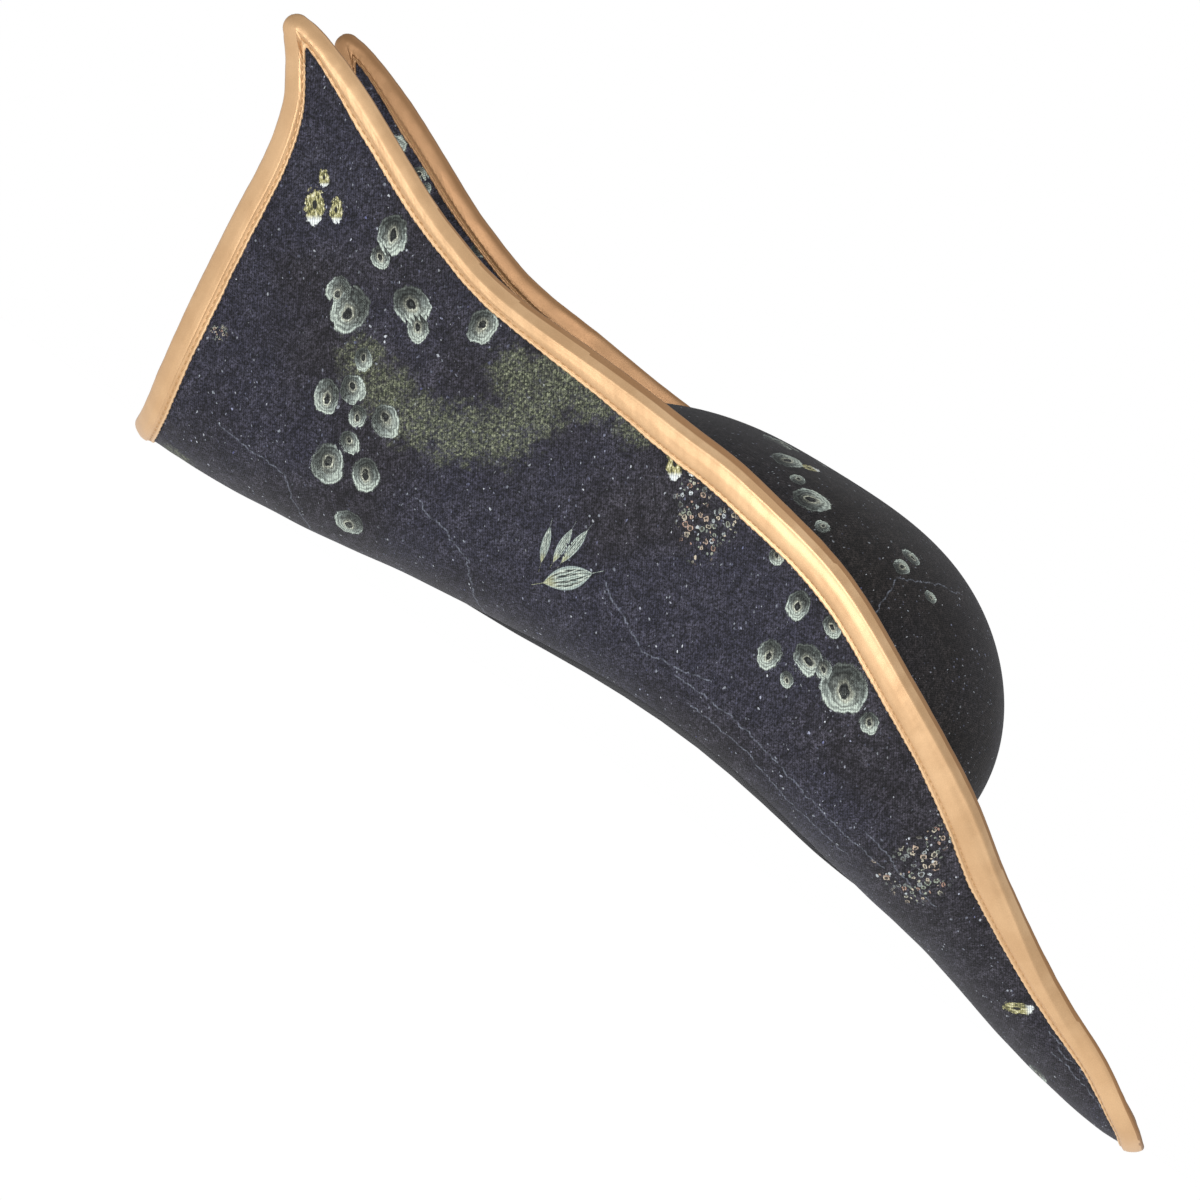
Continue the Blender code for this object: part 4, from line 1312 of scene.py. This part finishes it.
def make_label(looks):
    """A blank satin label caught under the sweatband's top edge, its free end curling a little."""
    across, down = 25, 21
    turn = np.pi / 2 + np.linspace(-0.165, 0.165, across)
    rise = np.linspace(0, 1, down)
    curl = 0.9 * (1 - rise) ** 3
    wave = 0.12 * np.sin(np.linspace(0, 9, across))
    foot = band_foot(turn, STACK_OFFSET)

    def face(offset):
        rows = []
        for r, c in zip(rise, curl, strict=True):
            flat = head_oval(turn, -GAP - 0.35 + offset - c - wave * (1 - r))
            rows.append(np.c_[flat, foot + 2.0 + LABEL_HEIGHT * r])
        return np.array(rows)

    points = np.concatenate([face(-0.12), face(0.12)[::-1]])
    rows, columns = points.shape[:2]
    half = np.arange(down)
    ends = [np.stack([half[:-1], half[1:], rows - 1 - half[1:], rows - 1 - half[:-1]],
                     axis=1) * columns + c for c in (0, columns - 1)]
    faces = [grid(rows, columns, True, False), ends[0], ends[1][:, ::-1]]
    piece = add_piece("blank_label", points, faces, looks["label"], "care_label")
    flat = np.zeros(points.shape)
    flat[..., 0] = turn * HEAD_HALF_LENGTH
    flat[..., 1] = np.concatenate([rise, rise[::-1]])[:, None] * LABEL_HEIGHT
    point_vectors(piece, "cloth", flat)


# ---------------------------------------------------------------- studio

WORLD_LIGHT = 0.42
FLOOR_REACH, FLOOR_DROP = 40.0, 3.8  # metres

def make_camera():
    """Level with the hat on its +X side, rolled so that the wearer would look up and left."""
    aim = Vector((0.0, -0.0425, 0.019))
    rise, roll, far, width = np.radians(4.2), np.radians(36), 2.2, 0.438
    back = Vector((np.cos(rise), 0, np.sin(rise)))
    level_up = Vector((-np.sin(rise), 0, np.cos(rise)))
    right = Vector((0, np.cos(roll), 0)) + level_up * np.sin(roll)
    up = Vector((0, -np.sin(roll), 0)) + level_up * np.cos(roll)
    data = bpy.data.cameras.new("camera")
    data.sensor_width = 36
    data.lens = 36 * far / width
    data.clip_end = 50
    camera = bpy.data.objects.new("camera", data)
    bpy.context.scene.collection.objects.link(camera)
    camera.matrix_world = Matrix.Translation(aim + back * far) @ Matrix(
        (right, up, back)).transposed().to_4x4()
    bpy.context.scene.camera = camera


def soft_light(name, place, size, power):
    """A square light aimed at the hat, in metres and watts."""
    data = bpy.data.lights.new(name, "AREA")
    data.size = size
    data.energy = power
    light = bpy.data.objects.new(name, data)
    bpy.context.scene.collection.objects.link(light)
    light.location = place
    aim = Vector((0, 0, 0.03)) - Vector(place)
    light.rotation_euler = aim.to_track_quat("-Z", "Y").to_euler()


def make_studio():
    """A white room: a world that looks white and lights less, three lights and a far floor."""
    world = bpy.data.worlds.new("white_studio")
    bpy.context.scene.world = world
    world.use_nodes = True
    tree = world.node_tree
    shade = tree.nodes["Background"]
    shade.inputs["Color"].default_value = (1, 1, 1, 1)
    seen = tree.nodes.new("ShaderNodeLightPath")
    level = tree.nodes.new("ShaderNodeMapRange")
    level.inputs["To Min"].default_value = WORLD_LIGHT
    level.inputs["To Max"].default_value = 1.0
    tree.links.new(seen.outputs["Is Camera Ray"], level.inputs["Value"])
    tree.links.new(level.outputs["Result"], shade.inputs["Strength"])
    soft_light("key", (2.2, 0.45, 0.42), 1.0, 34)
    soft_light("front_fill", (1.5, -1.6, 0.5), 1.2, 3)
    soft_light("top", (-0.3, 0.2, 2.2), 1.6, 4)
    corners = [(x * FLOOR_REACH, y * FLOOR_REACH, -FLOOR_DROP)
               for x, y in ((-1, -1), (1, -1), (1, 1), (-1, 1))]
    mesh = bpy.data.meshes.new("studio_floor")
    mesh.from_pydata(corners, [], [(0, 1, 2, 3)])
    floor = bpy.data.objects.new("studio_floor", mesh)
    bpy.context.scene.collection.objects.link(floor)
    mesh.materials.append(pale_floor())
    bpy.context.scene.view_settings.view_transform = "Standard"


def main():
    looks = {
        "brim_cloth": printed_cloth("brim_print", (0.0180, 0.0165, 0.0220),
                                    (0.0325, 0.0305, 0.039)),
        "crown_cloth": printed_cloth("crown_print", (0.0110, 0.0092, 0.0088),
                                     (0.0190, 0.0162, 0.0155)),
        "gold": gold_trim(),
        "gold_thread": sewing_thread("gold_thread", (0.52, 0.30, 0.12)),
        "dark_thread": sewing_thread("dark_thread", (0.05, 0.045, 0.045)),
        "foam": foam(),
        "lining": woven("lining_weave", (0.008, 0.008, 0.010), (0.024, 0.024, 0.028), 0.7, 0.42),
        "label": woven("blank_satin", (0.62, 0.61, 0.57), (0.78, 0.77, 0.72), 0.5, 0.5),
        "band": ribbed_band(),
        "wire": drawn_wire("bright_wire", (0.55, 0.56, 0.58)),
        "crimp": drawn_wire("crimp_metal", (0.62, 0.62, 0.64)),
    }
    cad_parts["seam_tape"].data.materials[0] = tape_weave()
    make_brim(looks)
    make_edge(looks)
    make_crown(looks)
    make_sweatband(looks)
    make_label(looks)
    make_studio()
    make_camera()


main()
